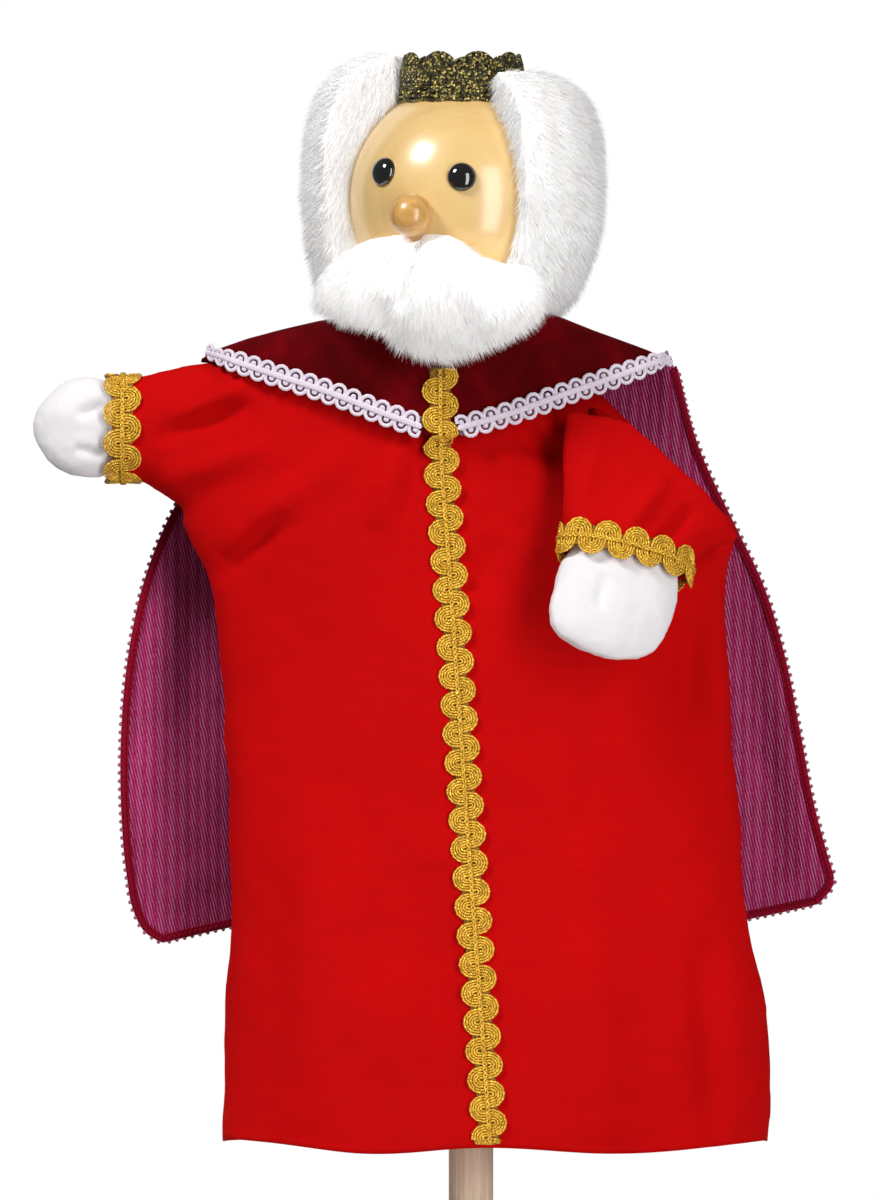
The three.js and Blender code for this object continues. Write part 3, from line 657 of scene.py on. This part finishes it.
def scroll_lines(guide, period, width, rows, lift=0.5):
    """Parallel cords that wind from side to side in half circles, with a stitched chain between."""
    lines = []
    count = round(guide.length / (period * MM))
    half_pitch = guide.length / count / 2
    reach = half_pitch * 0.87
    spread = width / 2 * MM - reach
    for row in range(rows):
        inner = half_pitch - reach + (2 * reach - half_pitch) * row / (rows - 1)
        line = []
        for bend in range(2 * count):
            side = 1 if bend % 2 else -1
            radius = inner if side > 0 else half_pitch - inner
            for angle in np.radians(np.linspace(-90, 90, 7)):
                along = (bend + 0.5) * half_pitch + radius * math.sin(angle)
                aside = side * (spread + radius * math.cos(angle))
                raised = (lift + 0.22 * math.cos(angle)) * MM
                line.append(guide.at(along, aside, raised))
        lines.append((line, False))
    for phase in (1, -1):
        chain = [
            guide.at(
                k * half_pitch / 5, phase * 0.5 * MM * math.cos(k * math.pi / 2), (lift + 0.42) * MM
            )
            for k in range(10 * count + 1)
        ]
        lines.append((chain, False))
    return lines


def ribbon(guide, half, low, high, steps):
    """The flat web that the cords are laid on."""
    body = bmesh.new()
    bmesh.ops.create_grid(body, x_segments=steps, y_segments=4, size=0.5)
    for point in body.verts:
        along = (point.co.x + 0.5) * guide.length
        point.co = guide.at(along, point.co.y * 2 * half * MM, low * MM)
    bmesh.ops.solidify(body, geom=body.faces[:], thickness=-(high - low) * MM)
    return body


def gold_finish(name, light, dark, metal, rough):
    """Metallic yarn: twisted, with a fine sparkle, and painted darker in the grooves of the twist as
    shade.
    """
    made = Finish(name, light, rough, metallic=metal)
    glitter = made.node("ShaderNodeTexVoronoi", Scale=1.0)
    made.link(made.scaled((2300, 2300, 2300)), glitter.inputs["Vector"])
    twist_and_groove_shade = made.noise((1500, 1500, 1500), detail=2)
    # Painted shade: the colour goes from light to dark where the twist's bump sinks into its grooves.
    made.colour(made.mix(made.ramp(twist_and_groove_shade, (0.30, (0, 0, 0)), (0.52, (1, 1, 1))), dark, light))
    made.rough(glitter.outputs["Distance"], rough * 0.6, rough * 1.4)
    made.bump(glitter.outputs["Distance"], 0.0003, 0.8)
    made.bump(twist_and_groove_shade, 0.0003, 0.7)
    return made.material


def tree_of(*objects):
    """Search trees of these finished pieces, to lay braid on."""
    depsgraph = bpy.context.evaluated_depsgraph_get()
    return [BVHTree.FromObject(piece, depsgraph) for piece in objects]


def front_of(trees, x, z):
    """The foremost surface seen from the front at (x, z), in metres."""
    found = []
    for tree in trees:
        hit = tree.ray_cast(Vector((x, -0.2, z)), Vector((0, 1, 0)))[0]
        if hit:
            found.append(hit.y)
    return min(found) if found else None


EASING = 6


def laid_guide(line, trees):
    """A guide through front-view points, laid on what is behind it and eased over a few steps."""
    heights = np.array([front_of(trees, x * MM, z * MM) or 0.0 for x, z in line])
    padded_heights = np.pad(heights, EASING, mode="edge")
    window = np.hanning(2 * EASING + 3)[1:-1]
    eased = np.convolve(padded_heights, window / window.sum(), mode="valid")
    eased = np.minimum(eased, heights)
    points = [Vector((x * MM, y, z * MM)) for (x, z), y in zip(line, eased)]
    return Guide(points, [(0, -1, 0)] * len(points))


def spline(points, count):
    """Evenly spaced points on a smooth curve through a few front-view points."""
    knots = np.array(points, float)
    marks = np.concatenate([[0], np.cumsum(np.linalg.norm(np.diff(knots, axis=0), axis=1))])
    slopes = np.gradient(knots, marks, axis=0)
    out = []
    for distance in np.linspace(0, marks[-1], count):
        k = min(int(np.searchsorted(marks, distance, side="right")) - 1, len(knots) - 2)
        step = marks[k + 1] - marks[k]
        t = (distance - marks[k]) / step
        value = (
            (2 * t**3 - 3 * t**2 + 1) * knots[k] + (t**3 - 2 * t**2 + t) * step * slopes[k]
            + (3 * t**2 - 2 * t**3) * knots[k + 1] + (t**3 - t**2) * step * slopes[k + 1]
        )
        out.append(tuple(value))
    return out


FRONT_BRAID_WIDTH = 9.4
CUFF_BRAID_WIDTH = 9.8
BRAID_PERIOD = 7.7
BRAID_ROWS = 5
gold = gold_finish("gold_gimp", (0.90, 0.54, 0.05), (0.42, 0.20, 0.012), 0.45, 0.36)
# Painted shade: the web's gold is darker than the cords' own, for the shade in the gaps between them.
gold_web_painted_shade = gold_finish("gold_web_painted_shade", (0.40, 0.20, 0.015), (0.2, 0.09, 0.01), 0.3, 0.5)
FRONT_BRAID = [(5.1, 27.0), (3.2, 55), (0, 98), (-3, 141), (-6, 184), (-8, 212), (-8.4, 236)]
clothes = tree_of(gown, collar)
braid_guide = laid_guide(spline(FRONT_BRAID, 120), clothes)


def braided(name, guide, width, radius, body_name, node):
    """Gold gimp along a guide: its laid cords and the web under them."""
    lines = scroll_lines(guide, BRAID_PERIOD, width, BRAID_ROWS)
    cords = tube_lines(name, lines, radius * MM, gold)
    backing = shown(name + "_web", ribbon(guide, width * 0.29, 0.1, 0.6, 160), gold_web_painted_shade)
    for piece in (cords, backing):
        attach(piece, body_name)
    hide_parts(node)
    return cords


front_braid = braided("front_gimp", braid_guide, FRONT_BRAID_WIDTH, 0.33, "glove", "front_braid")


def cuff_guide(place, upper, lower, depth, shift):
    """A closed oval round the end of a sleeve."""
    points, outs = [], []
    for k in range(96):
        angle = 2 * math.pi * k / 96
        across = (upper - lower) / 2 + (upper + lower) / 2 * math.cos(angle)
        out = Vector((math.cos(angle) / (upper + lower), math.sin(angle) / (2 * depth), 0)).normalized()
        points.append(place @ (Vector((across, depth * math.sin(angle), shift)) * MM))
        outs.append(place.to_3x3() @ out)
    return Guide(points, outs, closed=True)


left_cuff_guide = cuff_guide(left_place, 13.6, 14.4, 9.0, 0)
right_cuff_guide = cuff_guide(right_place, 18.8, 18.2, 8.0, 0)
for word, cuff in (("left", left_cuff_guide), ("right", right_cuff_guide)):
    braided(f"{word}_cuff_gimp", cuff, CUFF_BRAID_WIDTH, 0.34, f"arm_{word}", f"cuff_braid_{word}")

TRIM_PERIOD = 4.1
TRIM_WIDTH = 6.0
TRIM_LINES = {
    -1: [(-71.3, 241.0), (-55, 235.4), (-38, 229.8), (-24, 224.4), (-13.5, 220.6)],
    1: [(-3.4, 220.2), (10.5, 224.2), (24, 229), (40, 234.6), (53.5, 239.6)],
}
white_gimp = cotton("white_gimp", (0.93, 0.86, 0.93), (0.74, 0.62, 0.74), weave=4000).material
lilac_web = cotton("lilac_web", (0.50, 0.36, 0.52), (0.36, 0.22, 0.38), weave=4000).material


for side, word in ((-1, "left"), (1, "right")):
    trim_guide = laid_guide(spline(TRIM_LINES[side], 60), tree_of(collar))
    loops = scroll_lines(trim_guide, TRIM_PERIOD, TRIM_WIDTH, 2, lift=0.9)
    trim = tube_lines(f"collar_gimp_{word}", loops, 0.52 * MM, white_gimp, sides=2)
    trim_band = ribbon(trim_guide, TRIM_WIDTH * 0.36, 0.1, 0.6, 80)
    trim_web = shown(f"collar_web_{word}", trim_band, lilac_web)
    for piece in (trim_web, trim):
        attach(piece, "glove")
    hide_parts(f"collar_trim_{word}")

# ---- Cape ----
# Velvet outside and its knitted back inside, hung from the collar's seam and overlocked all round.


def knit_finish():
    made = Finish("cape_wrong_side", (0.24, 0.02, 0.10), 0.85)
    made.set("Specular IOR Level", 0.1)
    ribs = made.threads((110, 0, 0), distortion=1.2)
    twill = made.threads((400, 0, 400), turn=(0, math.radians(14), 0), distortion=1.6)
    mottled = made.noise((160, 160, 160), detail=3)
    fuzz = made.noise((1400, 1400, 1400), detail=2)
    threads = made.maths("MULTIPLY", twill, made.maths("ADD", made.maths("MULTIPLY", ribs, 0.5), fuzz))
    base = made.mix(mottled, (0.20, 0.002, 0.040), (0.38, 0.010, 0.115))
    shine = made.ramp(threads, (0.30, (0, 0, 0)), (0.85, (0.46, 0.46, 0.46)))
    made.colour(made.mix(shine, base, (0.70, 0.32, 0.52)))
    made.bump(threads, 0.0003, 0.7)
    return made.material


CAPE_LEFT = [
    (-52, 240), (-64, 219), (-79, 200), (-87.5, 180), (-92.2, 158), (-94.0, 138), (-94.0, 118),
    (-92.6, 100), (-90.8, 90), (-88, 84.6), (-84, 81.9),
]
CAPE_RIGHT = [
    (54, 240), (61.6, 214), (71, 194), (78.6, 178), (84.6, 158), (88.6, 138), (92.4, 118),
    (96.4, 103), (97.8, 97.5), (94, 92.4),
]
CAPE_FOLDS = [
    ((-70, 205), (-84, 90), 7, 2.0), ((-82, 180), (-90, 110), 4, -1.2), ((72, 190), (84, 95), 6, 2.0),
    ((80, 165), (92, 100), 4, -1.4), ((-20, 230), (-30, 90), 9, -2.5), ((25, 230), (38, 90), 9, -2.5),
    ((0, 230), (4, 90), 9, 2.5),
]
# The cape's curve from side to side, and the collar's curve at the seam it is sewn to.
CAPE_HALF = 120
SEAM_TOP = 240
SEAM_DEPTH = 20.2
SEAM_MIDDLE = -9
SEAM_HALF = 64
CAPE_CLOTH = 1.1 * MM


def cape_depth(x, z):
    """How far behind the middle the cape hangs at (x, z), in millimetres: at its seam it lies on
    the collar's curve, and a little lower it swings clear of the gown."""
    lift = sum(ridge(x, z, *fold) for fold in CAPE_FOLDS)
    lift += 1.0 * noise.fractal(Vector((x, 0, z)) / 34, 1.0, 2.0, 3)
    bulge = 34.5 - (z - 70) * 0.062
    hung = bulge * math.sqrt(1 - (x / CAPE_HALF) ** 2) + lift * min(1, max(0, (238 - z) / 30))
    sewn = SEAM_DEPTH * math.sqrt(max(0.06, 1 - ((x - SEAM_MIDDLE) / SEAM_HALF) ** 2))
    share = min(1, max(0, (SEAM_TOP - z) / 26))
    share = share * share * (3 - 2 * share)
    return sewn + (hung - sewn) * share


def on_cape(x, z):
    return Vector((x, cape_depth(x, z), z)) * MM


CAPE_ROWS = 90
CAPE_COLUMNS = 80
left_edge = spline(CAPE_LEFT, CAPE_ROWS + 1)
right_edge = spline(CAPE_RIGHT, CAPE_ROWS + 1)


def cape_at(across, down):
    """The cape's point between its two edges in front view; its hem rises left and sags right."""
    row = min(int(down * CAPE_ROWS + 0.5), CAPE_ROWS)
    start, end = Vector(left_edge[row]), Vector(right_edge[row])
    return start.lerp(end, across) + Vector((0, 5.0 * down**6 * math.sin(2 * math.pi * across)))


cape_body = bmesh.new()
bmesh.ops.create_grid(cape_body, x_segments=CAPE_COLUMNS, y_segments=CAPE_ROWS, size=0.5)
for point in cape_body.verts:
    point.co = on_cape(*cape_at(point.co.x + 0.5, 0.5 - point.co.y))
cape = shown("velvet_cape", cape_body, knit_finish())
if sum(face.normal.y for face in cape.data.polygons) > 0:
    cape.data.flip_normals()
cape.data.materials.append(velvet)
solidified(cape, CAPE_CLOTH)
cape.modifiers["thickness"].material_offset = 1
cape.modifiers["thickness"].material_offset_rim = 1
takes_place(cape, "cape", "cape_panel")


def cape_edge_guide():
    hem = [tuple(cape_at(across, 1)) for across in np.linspace(0, 1, 90)[1:-1]]
    line = left_edge[2:] + hem + right_edge[1:][::-1]
    points = [on_cape(x, z) + Vector((0, 0.5 * MM, 0)) for x, z in line]
    return Guide(points, [(0, -1, 0)] * len(points))


def overlock_lines(guide):
    count = int(guide.length / (1.5 * MM))
    zigzag = [
        guide.at(k * 0.75 * MM, (0.9 if k % 2 else -0.9) * MM, 0.7 * MM) for k in range(2 * count)
    ]
    rail = [guide.at(k * 2 * MM, -0.9 * MM, 0.5 * MM) for k in range(int(guide.length / (2 * MM)))]
    core = [guide.at(k * 2 * MM, 0.2 * MM, 0) for k in range(int(guide.length / (2 * MM)))]
    return [(zigzag, False), (rail, False)], [(core, False)]


def picots(guide, spacing, radius):
    """Tiny knots of pale thread that stand along the edge."""
    body = bmesh.new()
    for number in range(int(guide.length / (spacing * MM))):
        spot = guide.at(number * spacing * MM, 1.25 * MM, 0.2 * MM)
        bmesh.ops.create_icosphere(
            body, subdivisions=1, radius=radius * MM, matrix=Matrix.Translation(spot)
        )
    return body


edge_thread = cotton("edge_thread", (0.36, 0.006, 0.03), (0.2, 0.002, 0.015), weave=3500).material
picot_thread = cotton("picot_thread", (0.56, 0.20, 0.30), (0.30, 0.08, 0.14), weave=3500).material
edge_guide = cape_edge_guide()
stitches, core = overlock_lines(edge_guide)
edging = tube_lines("cape_overlock", stitches, 0.34 * MM, edge_thread)
edge_core = tube_lines("cape_edge_roll", core, 0.95 * MM, edge_thread)
knots = shown("cape_picots", picots(edge_guide, 2.2, 0.62), picot_thread)
for piece in (edging, edge_core, knots):
    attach(piece, "cape")
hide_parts("cape_edging")

# ---- Head ----
# A turned ball of pale lacquered wood with a darker bead for a nose and two polished black eyes.

HEAD = centre("head_ball")
HEAD_RADIUS = size("head_ball").x / 2
HEAD = Vector((HEAD.x, HEAD.y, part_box("head_ball")[1][2] - HEAD_RADIUS))
FACE_TURN = math.radians(-23)
FACE_ROLL = math.radians(4.5)


def face_frame(azimuth, elevation, radius):
    """The place on the turned face at these angles, with -Y pointing out of the head."""
    return (
        Matrix.Translation(HEAD)
        @ Matrix.Rotation(FACE_TURN, 4, "Z") @ Matrix.Rotation(FACE_ROLL, 4, "Y")
        @ Matrix.Rotation(math.radians(azimuth), 4, "Z")
        @ Matrix.Rotation(math.radians(-elevation), 4, "X")
        @ Matrix.Translation((0, -radius, 0))
    )


def lacquered(name, pale, warm, line, factors, coat):
    made = Finish(name, warm, 0.32)
    grain = made.noise(factors, detail=5, roughness=0.6, turn=(0.1, 0.25, 0.2))
    pores = made.noise(tuple(3.2 * value for value in factors), detail=2, turn=(0.1, 0.25, 0.2))
    tone = made.ramp(grain, (0.3, pale), (0.5, warm), (0.75, line))
    made.colour(made.mix(made.ramp(pores, (0.62, (0, 0, 0)), (0.75, (0.3, 0.3, 0.3))), tone, line))
    made.set("Coat Weight", coat)
    made.set("Coat Roughness", 0.18)
    made.set("Coat IOR", 1.5)
    made.bump(grain, 0.00005, 0.15)
    return made.material


def ball_body(radius, place, rings=64):
    body = bmesh.new()
    bmesh.ops.create_uvsphere(body, u_segments=2 * rings, v_segments=rings, radius=radius, matrix=place)
    return body


head_wood = lacquered(
    "head_wood", (0.78, 0.54, 0.225), (0.75, 0.505, 0.20), (0.70, 0.45, 0.165), (40, 260, 40), 0.8
)
head_ball = shown("wooden_head", ball_body(HEAD_RADIUS, Matrix.Translation(HEAD)), head_wood)
nose_wood = lacquered(
    "nose_wood", (0.70, 0.40, 0.12), (0.62, 0.33, 0.09), (0.46, 0.22, 0.05), (220, 900, 220), 0.6
)
nose_place = face_frame(0, -8.6, HEAD_RADIUS + 3.5 * MM)
nose = shown("wooden_nose", ball_body(size("nose_bead").x / 2, nose_place, 32), nose_wood)
black = Finish("black_bead", (0.004, 0.004, 0.004), 0.04)
black.set("Coat Weight", 1.0)
black.set("Coat Roughness", 0.02)
for piece, name in ((head_ball, "head_ball"), (nose, "nose_bead")):
    takes_place(piece, "head", name)
EYE_RADIUS = 3.9
for side, word in ((-1, "left"), (1, "right")):
    place = face_frame(side * 22, 11, HEAD_RADIUS) @ Matrix.Diagonal((1, 0.62, 1, 1))
    eye = shown(f"eye_bead_{word}", ball_body(EYE_RADIUS * MM, place, 24), black.material)
    takes_place(eye, "head", f"eye_{word}")

# ---- Crown ----
# A band of dark metallic scroll gimp with large lobes standing up, glued round the top of the head.

CROWN_RADIUS = 17.0
CROWN_FOOT = 308.2
CROWN_START = 0.15
CROWN_LOBES = 9
LOBE_ROWS = 7


def glitter_finish():
    """Near-black yarn wound with bright metal foil that flashes here and there."""
    made = Finish("crown_gimp", (0.03, 0.022, 0.006), 0.34, metallic=0.35)
    flecks = made.node("ShaderNodeTexVoronoi", Scale=1.0)
    made.link(made.scaled((2000, 2000, 2000)), flecks.inputs["Vector"])
    chance = made.node("ShaderNodeSeparateXYZ")
    made.link(flecks.outputs["Color"], chance.inputs[0])
    dark, olive, foil = (0.010, 0.009, 0.003), (0.085, 0.075, 0.014), (0.85, 0.66, 0.20)
    made.colour(made.ramp(chance.outputs["X"], (0.0, dark), (0.5, olive), (0.67, foil), (0.76, dark)))
    made.bump(flecks.outputs["Distance"], 0.0005, 0.9)
    return made.material


crown_gold = glitter_finish()


def crown_lines():
    """Cords that wind round in the foot of the band and fan out into each lobe."""
    points, outs = [], []
    for k in range(120):
        angle = 2 * math.pi * k / 120
        out = Vector((math.cos(angle), math.sin(angle), 0))
        points.append(Vector((HEAD.x, HEAD.y, CROWN_FOOT * MM)) + out * CROWN_RADIUS * MM)
        outs.append(out + Vector((0, 0, 0.12)))
    guide = Guide(points, outs, closed=True)
    lines = []
    pitch = guide.length / CROWN_LOBES
    for number in range(CROWN_LOBES):
        for row in range(LOBE_ROWS):
            radius = (0.7 + row * 0.8) * MM
            line = []
            for angle in np.radians(np.linspace(-105, 105, 15)):
                up = 7.6 * MM + radius * math.cos(angle)
                along = (number + CROWN_START) * pitch + radius * math.sin(angle)
                line.append(guide.at(along, -up, (0.3 - 0.12 * abs(row - 3)) * MM))
            lines.append((line, False))
    for up in (0.4, 1.5, 2.6, 3.7, 4.8, 5.9, 7.0):
        sway = 0.5 * math.sin(2 * up)
        line = [guide.at(k * guide.length / 90, -(up + sway * math.sin(k)) * MM, 0) for k in range(90)]
        lines.append((line, True))
    return lines


def crown_backing():
    """The woven band behind the lobes."""
    body = bmesh.new()
    bmesh.ops.create_cone(
        body, cap_ends=False, segments=96, depth=8.4 * MM,
        radius1=(CROWN_RADIUS - 0.4) * MM, radius2=(CROWN_RADIUS - 0.2) * MM,
        matrix=Matrix.Translation((HEAD.x, HEAD.y, (CROWN_FOOT + 4.2) * MM)),
    )
    bmesh.ops.solidify(body, geom=body.faces[:], thickness=0.6 * MM)
    return body


crown_band = shown("crown_backing", crown_backing(), crown_gold)
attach(crown_band, "head")
crown = tube_lines("crown", crown_lines(), 0.62 * MM, crown_gold)
takes_place(crown, "head", "crown_band")

# ---- Neck ----
# A card finger tube glued into the head, with the gown's neck gathered and tied round it.


def neck_gather_body():
    """A waisted tube of pleated cloth."""
    low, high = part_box("neck_gather")
    middle = (Vector(low) + Vector(high)) / 2
    radius = (high[0] - low[0]) / 2
    profile = []
    for k in range(13):
        share = k / 12
        waist = (0.9 * math.sin(math.pi * share) + 0.3) * MM
        profile.append((radius - waist, low[2] + share * (high[2] - low[2])))
    inner = radius - 2 * MM
    body = turned([(inner, low[2]), *profile, (inner, high[2]), (inner, low[2])], 96)
    for point in body.verts:
        angle = math.atan2(point.co.y, point.co.x)
        pleat = 1 + 0.03 * math.sin(24 * angle)
        point.co.x *= pleat
        point.co.y *= pleat
    bmesh.ops.translate(body, verts=body.verts, vec=(middle.x, middle.y, 0))
    return body


gather = shown("gathered_neck", neck_gather_body(), red)
takes_place(gather, "neck", "neck_gather")
cord_middle = centre("neck_cord")
cord_radius = size("neck_cord").x / 2 - 0.5 * MM
cord_line = [
    cord_middle + Vector((math.cos(angle), math.sin(angle), 0)) * cord_radius
    for angle in np.linspace(0, 2 * math.pi, 48)[:-1]
]
neck_cord = tube_lines("neck_tie", [(cord_line, True)], 0.5 * MM, white_gimp)
takes_place(neck_cord, "neck", "neck_cord")

# ---- Fur hair and beard ----
# Long-pile white fur cloth glued to the ball: a wig in two halves and a beard with its moustache.
# Each is its backing with a coat of fine tapering hairs lying down and outwards.


def fur_finish_with_painted_glow(name, painted_glow):
    made = Finish(name, (0.96, 0.95, 0.945), 0.8, sheen=0.25)
    made.set("Sheen Roughness", 0.5)
    made.set("Specular IOR Level", 0.2)
    # Painted light: a faint white glow that brightens the hairs where they shade each other.
    made.set("Emission Color", (1, 0.985, 0.975, 1))
    made.set("Emission Strength", painted_glow)
    tone = made.noise((110, 110, 50), detail=4)
    made.colour(made.ramp(tone, (0.3, (0.90, 0.885, 0.88)), (0.6, (0.985, 0.98, 0.975))))
    return made.material


def surface_samples(body, count, seed):
    """Points spread evenly over the outside of a body, with their normals."""
    bmesh.ops.triangulate(body, faces=body.faces)
    corners = np.array([[tuple(point.co) for point in face.verts] for face in body.faces])
    crosses = np.cross(corners[:, 1] - corners[:, 0], corners[:, 2] - corners[:, 0])
    areas = np.linalg.norm(crosses, axis=1)
    normals = crosses / areas[:, None]
    middles = corners.mean(axis=1) - np.array(HEAD)
    outside = np.linalg.norm(middles, axis=1) > HEAD_RADIUS + 0.9 * MM
    outside &= (normals * unit(middles)).sum(axis=1) > -0.35
    shares = areas * outside
    dice = np.random.default_rng(seed)
    chosen = dice.choice(len(areas), count, p=shares / shares.sum())
    across, up = dice.random((2, count, 1))
    beyond = across + up > 1
    across, up = np.where(beyond, 1 - across, across), np.where(beyond, 1 - up, up)
    first, second, third = corners[chosen, 0], corners[chosen, 1], corners[chosen, 2]
    return first + across * (second - first) + up * (third - first), normals[chosen], dice


def unit(rows):
    return rows / np.maximum(np.linalg.norm(rows, axis=1, keepdims=True), 1e-9)


def hairs(places, normals, flow, dice, length, lie, stray):
    """Flat tapering hairs of three triangles, that rise along the normal and bend to the flow."""
    count = len(places)
    wander = dice.normal(size=(count, 3)) * stray
    long = length * MM * dice.uniform(0.55, 1.2, (count, 1))
    rise = unit(normals * (1 - lie) + flow * lie + wander)
    bend = unit(rise * 0.4 + flow * 0.9 + wander * 0.6)
    aside = unit(np.cross(rise, normals + 0.7 * dice.normal(size=(count, 3))))
    facing = (np.cross(rise, aside) * normals).sum(axis=1, keepdims=True)
    aside = np.where(facing < 0, -aside, aside)
    half = HAIR_WIDTH / 2 * MM
    middle = places + long * (rise * 0.5 + (bend - rise) * 0.14)
    tip = places + long * (rise + bend) * 0.5
    rows = [places + aside * half, places - aside * half]
    rows += [middle + aside * half * 0.8, middle - aside * half * 0.8, tip]
    points = np.stack(rows, axis=1).reshape(-1, 3)
    shape = np.array([[0, 1, 2], [1, 3, 2], [2, 3, 4]])
    faces = (shape[None] + 5 * np.arange(count)[:, None, None]).reshape(-1, 3)
    return points, faces


def furry(name, body, seed, flow_at, length, lie, stray, finish):
    """A backing with its coat of hairs, each shaded as the cloth it grows from."""
    places, normals, dice = surface_samples(body, HAIR_COUNT, seed)
    points, faces = hairs(places, normals, flow_at(places, normals), dice, length, lie, stray)
    body.normal_update()
    skin_normals = [tuple(point.normal) for point in body.verts]
    coat = bpy.data.meshes.new(name)
    coat.from_pydata(points.tolist(), [], faces.tolist())
    body.from_mesh(coat)
    bpy.data.meshes.remove(coat)
    mesh = bpy.data.meshes.new(name)
    body.to_mesh(mesh)
    body.free()
    mesh.polygons.foreach_set("use_smooth", [True] * len(mesh.polygons))
    spread = unit(np.repeat(normals, 5, axis=0) + 0.18 * dice.normal(size=(len(points), 3)))
    mesh.normals_split_custom_set_from_vertices(skin_normals + spread.tolist())
    mesh.materials.append(finish)
    made = bpy.data.objects.new(name, mesh)
    bpy.context.collection.objects.link(made)
    return made


def hair_flow(places, normals):
    away = places - np.array(HEAD)
    return unit(unit(away) * 0.45 + normals * 0.3 + np.array([0, 0, -0.85]))


PARTING = Vector((-16.5, -31, 266)) * MM


def beard_flow(places, normals):
    spread = places - np.array(PARTING)
    spread[:, 2] = 0
    return unit(unit(spread) * 0.42 + np.array([0, -0.22, -0.95]))


def shaped_wig(side):
    """The wig's backing: its left half stands taller than its right and the right one is slimmer."""
    body = copied(["hair_left" if side < 0 else "hair_right"], 1.4, 6)
    lift = 1.10 if side < 0 else 0.84
    for point in body.verts:
        x, z = point.co.x - HEAD.x, point.co.z
        if z > 300 * MM:
            point.co.z = 300 * MM + (z - 300 * MM) * lift
        if side > 0 and x > 0:
            tuck = 0.11 + 0.10 * min(max((276 * MM - z) / (24 * MM), 0), 1)
            point.co.x = HEAD.x + x * (1 - tuck)
        if side < 0 and x < 0:
            point.co.x = HEAD.x + x * 0.965
    return body


HAIR_COUNT = 52000
HAIR_WIDTH = 0.17
# Painted light: the wig's fur glows faintly and the beard's copy more, to lift the beard's shaded
# underside.
fur = fur_finish_with_painted_glow("white_fur", 0.17)
beard_fur_painted_light = fur_finish_with_painted_glow("beard_fur_painted_light", 0.25)
for side, word, seed in ((-1, "left", 3), (1, "right", 5)):
    wig = furry(f"fur_wig_{word}", shaped_wig(side), seed, hair_flow, 4.4, 0.66, 0.13, fur)
    takes_place(wig, "head", f"hair_{word}")


def beard_body():
    body = copied(["beard"], 1.0, 4)
    for point in body.verts:
        point.co.z = 272 * MM - (272 * MM - point.co.z) * 0.91
    folded(body, [((-15, 272), (-19, 254), 1.8, -2.6), ((-27, 268), (-33, 250), 3, 0.8)], 0.8)
    folded(body, [((-6, 268), (4, 250), 3, 0.8), ((-22, 256), (-22, 240), 2.4, -1.0)], 0.2)
    return body


beard = furry("fur_beard", beard_body(), 9, beard_flow, 5.6, 0.68, 0.15, beard_fur_painted_light)
takes_place(beard, "head", "beard")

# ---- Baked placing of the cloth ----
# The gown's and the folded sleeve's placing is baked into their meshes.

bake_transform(gown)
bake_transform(sleeve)
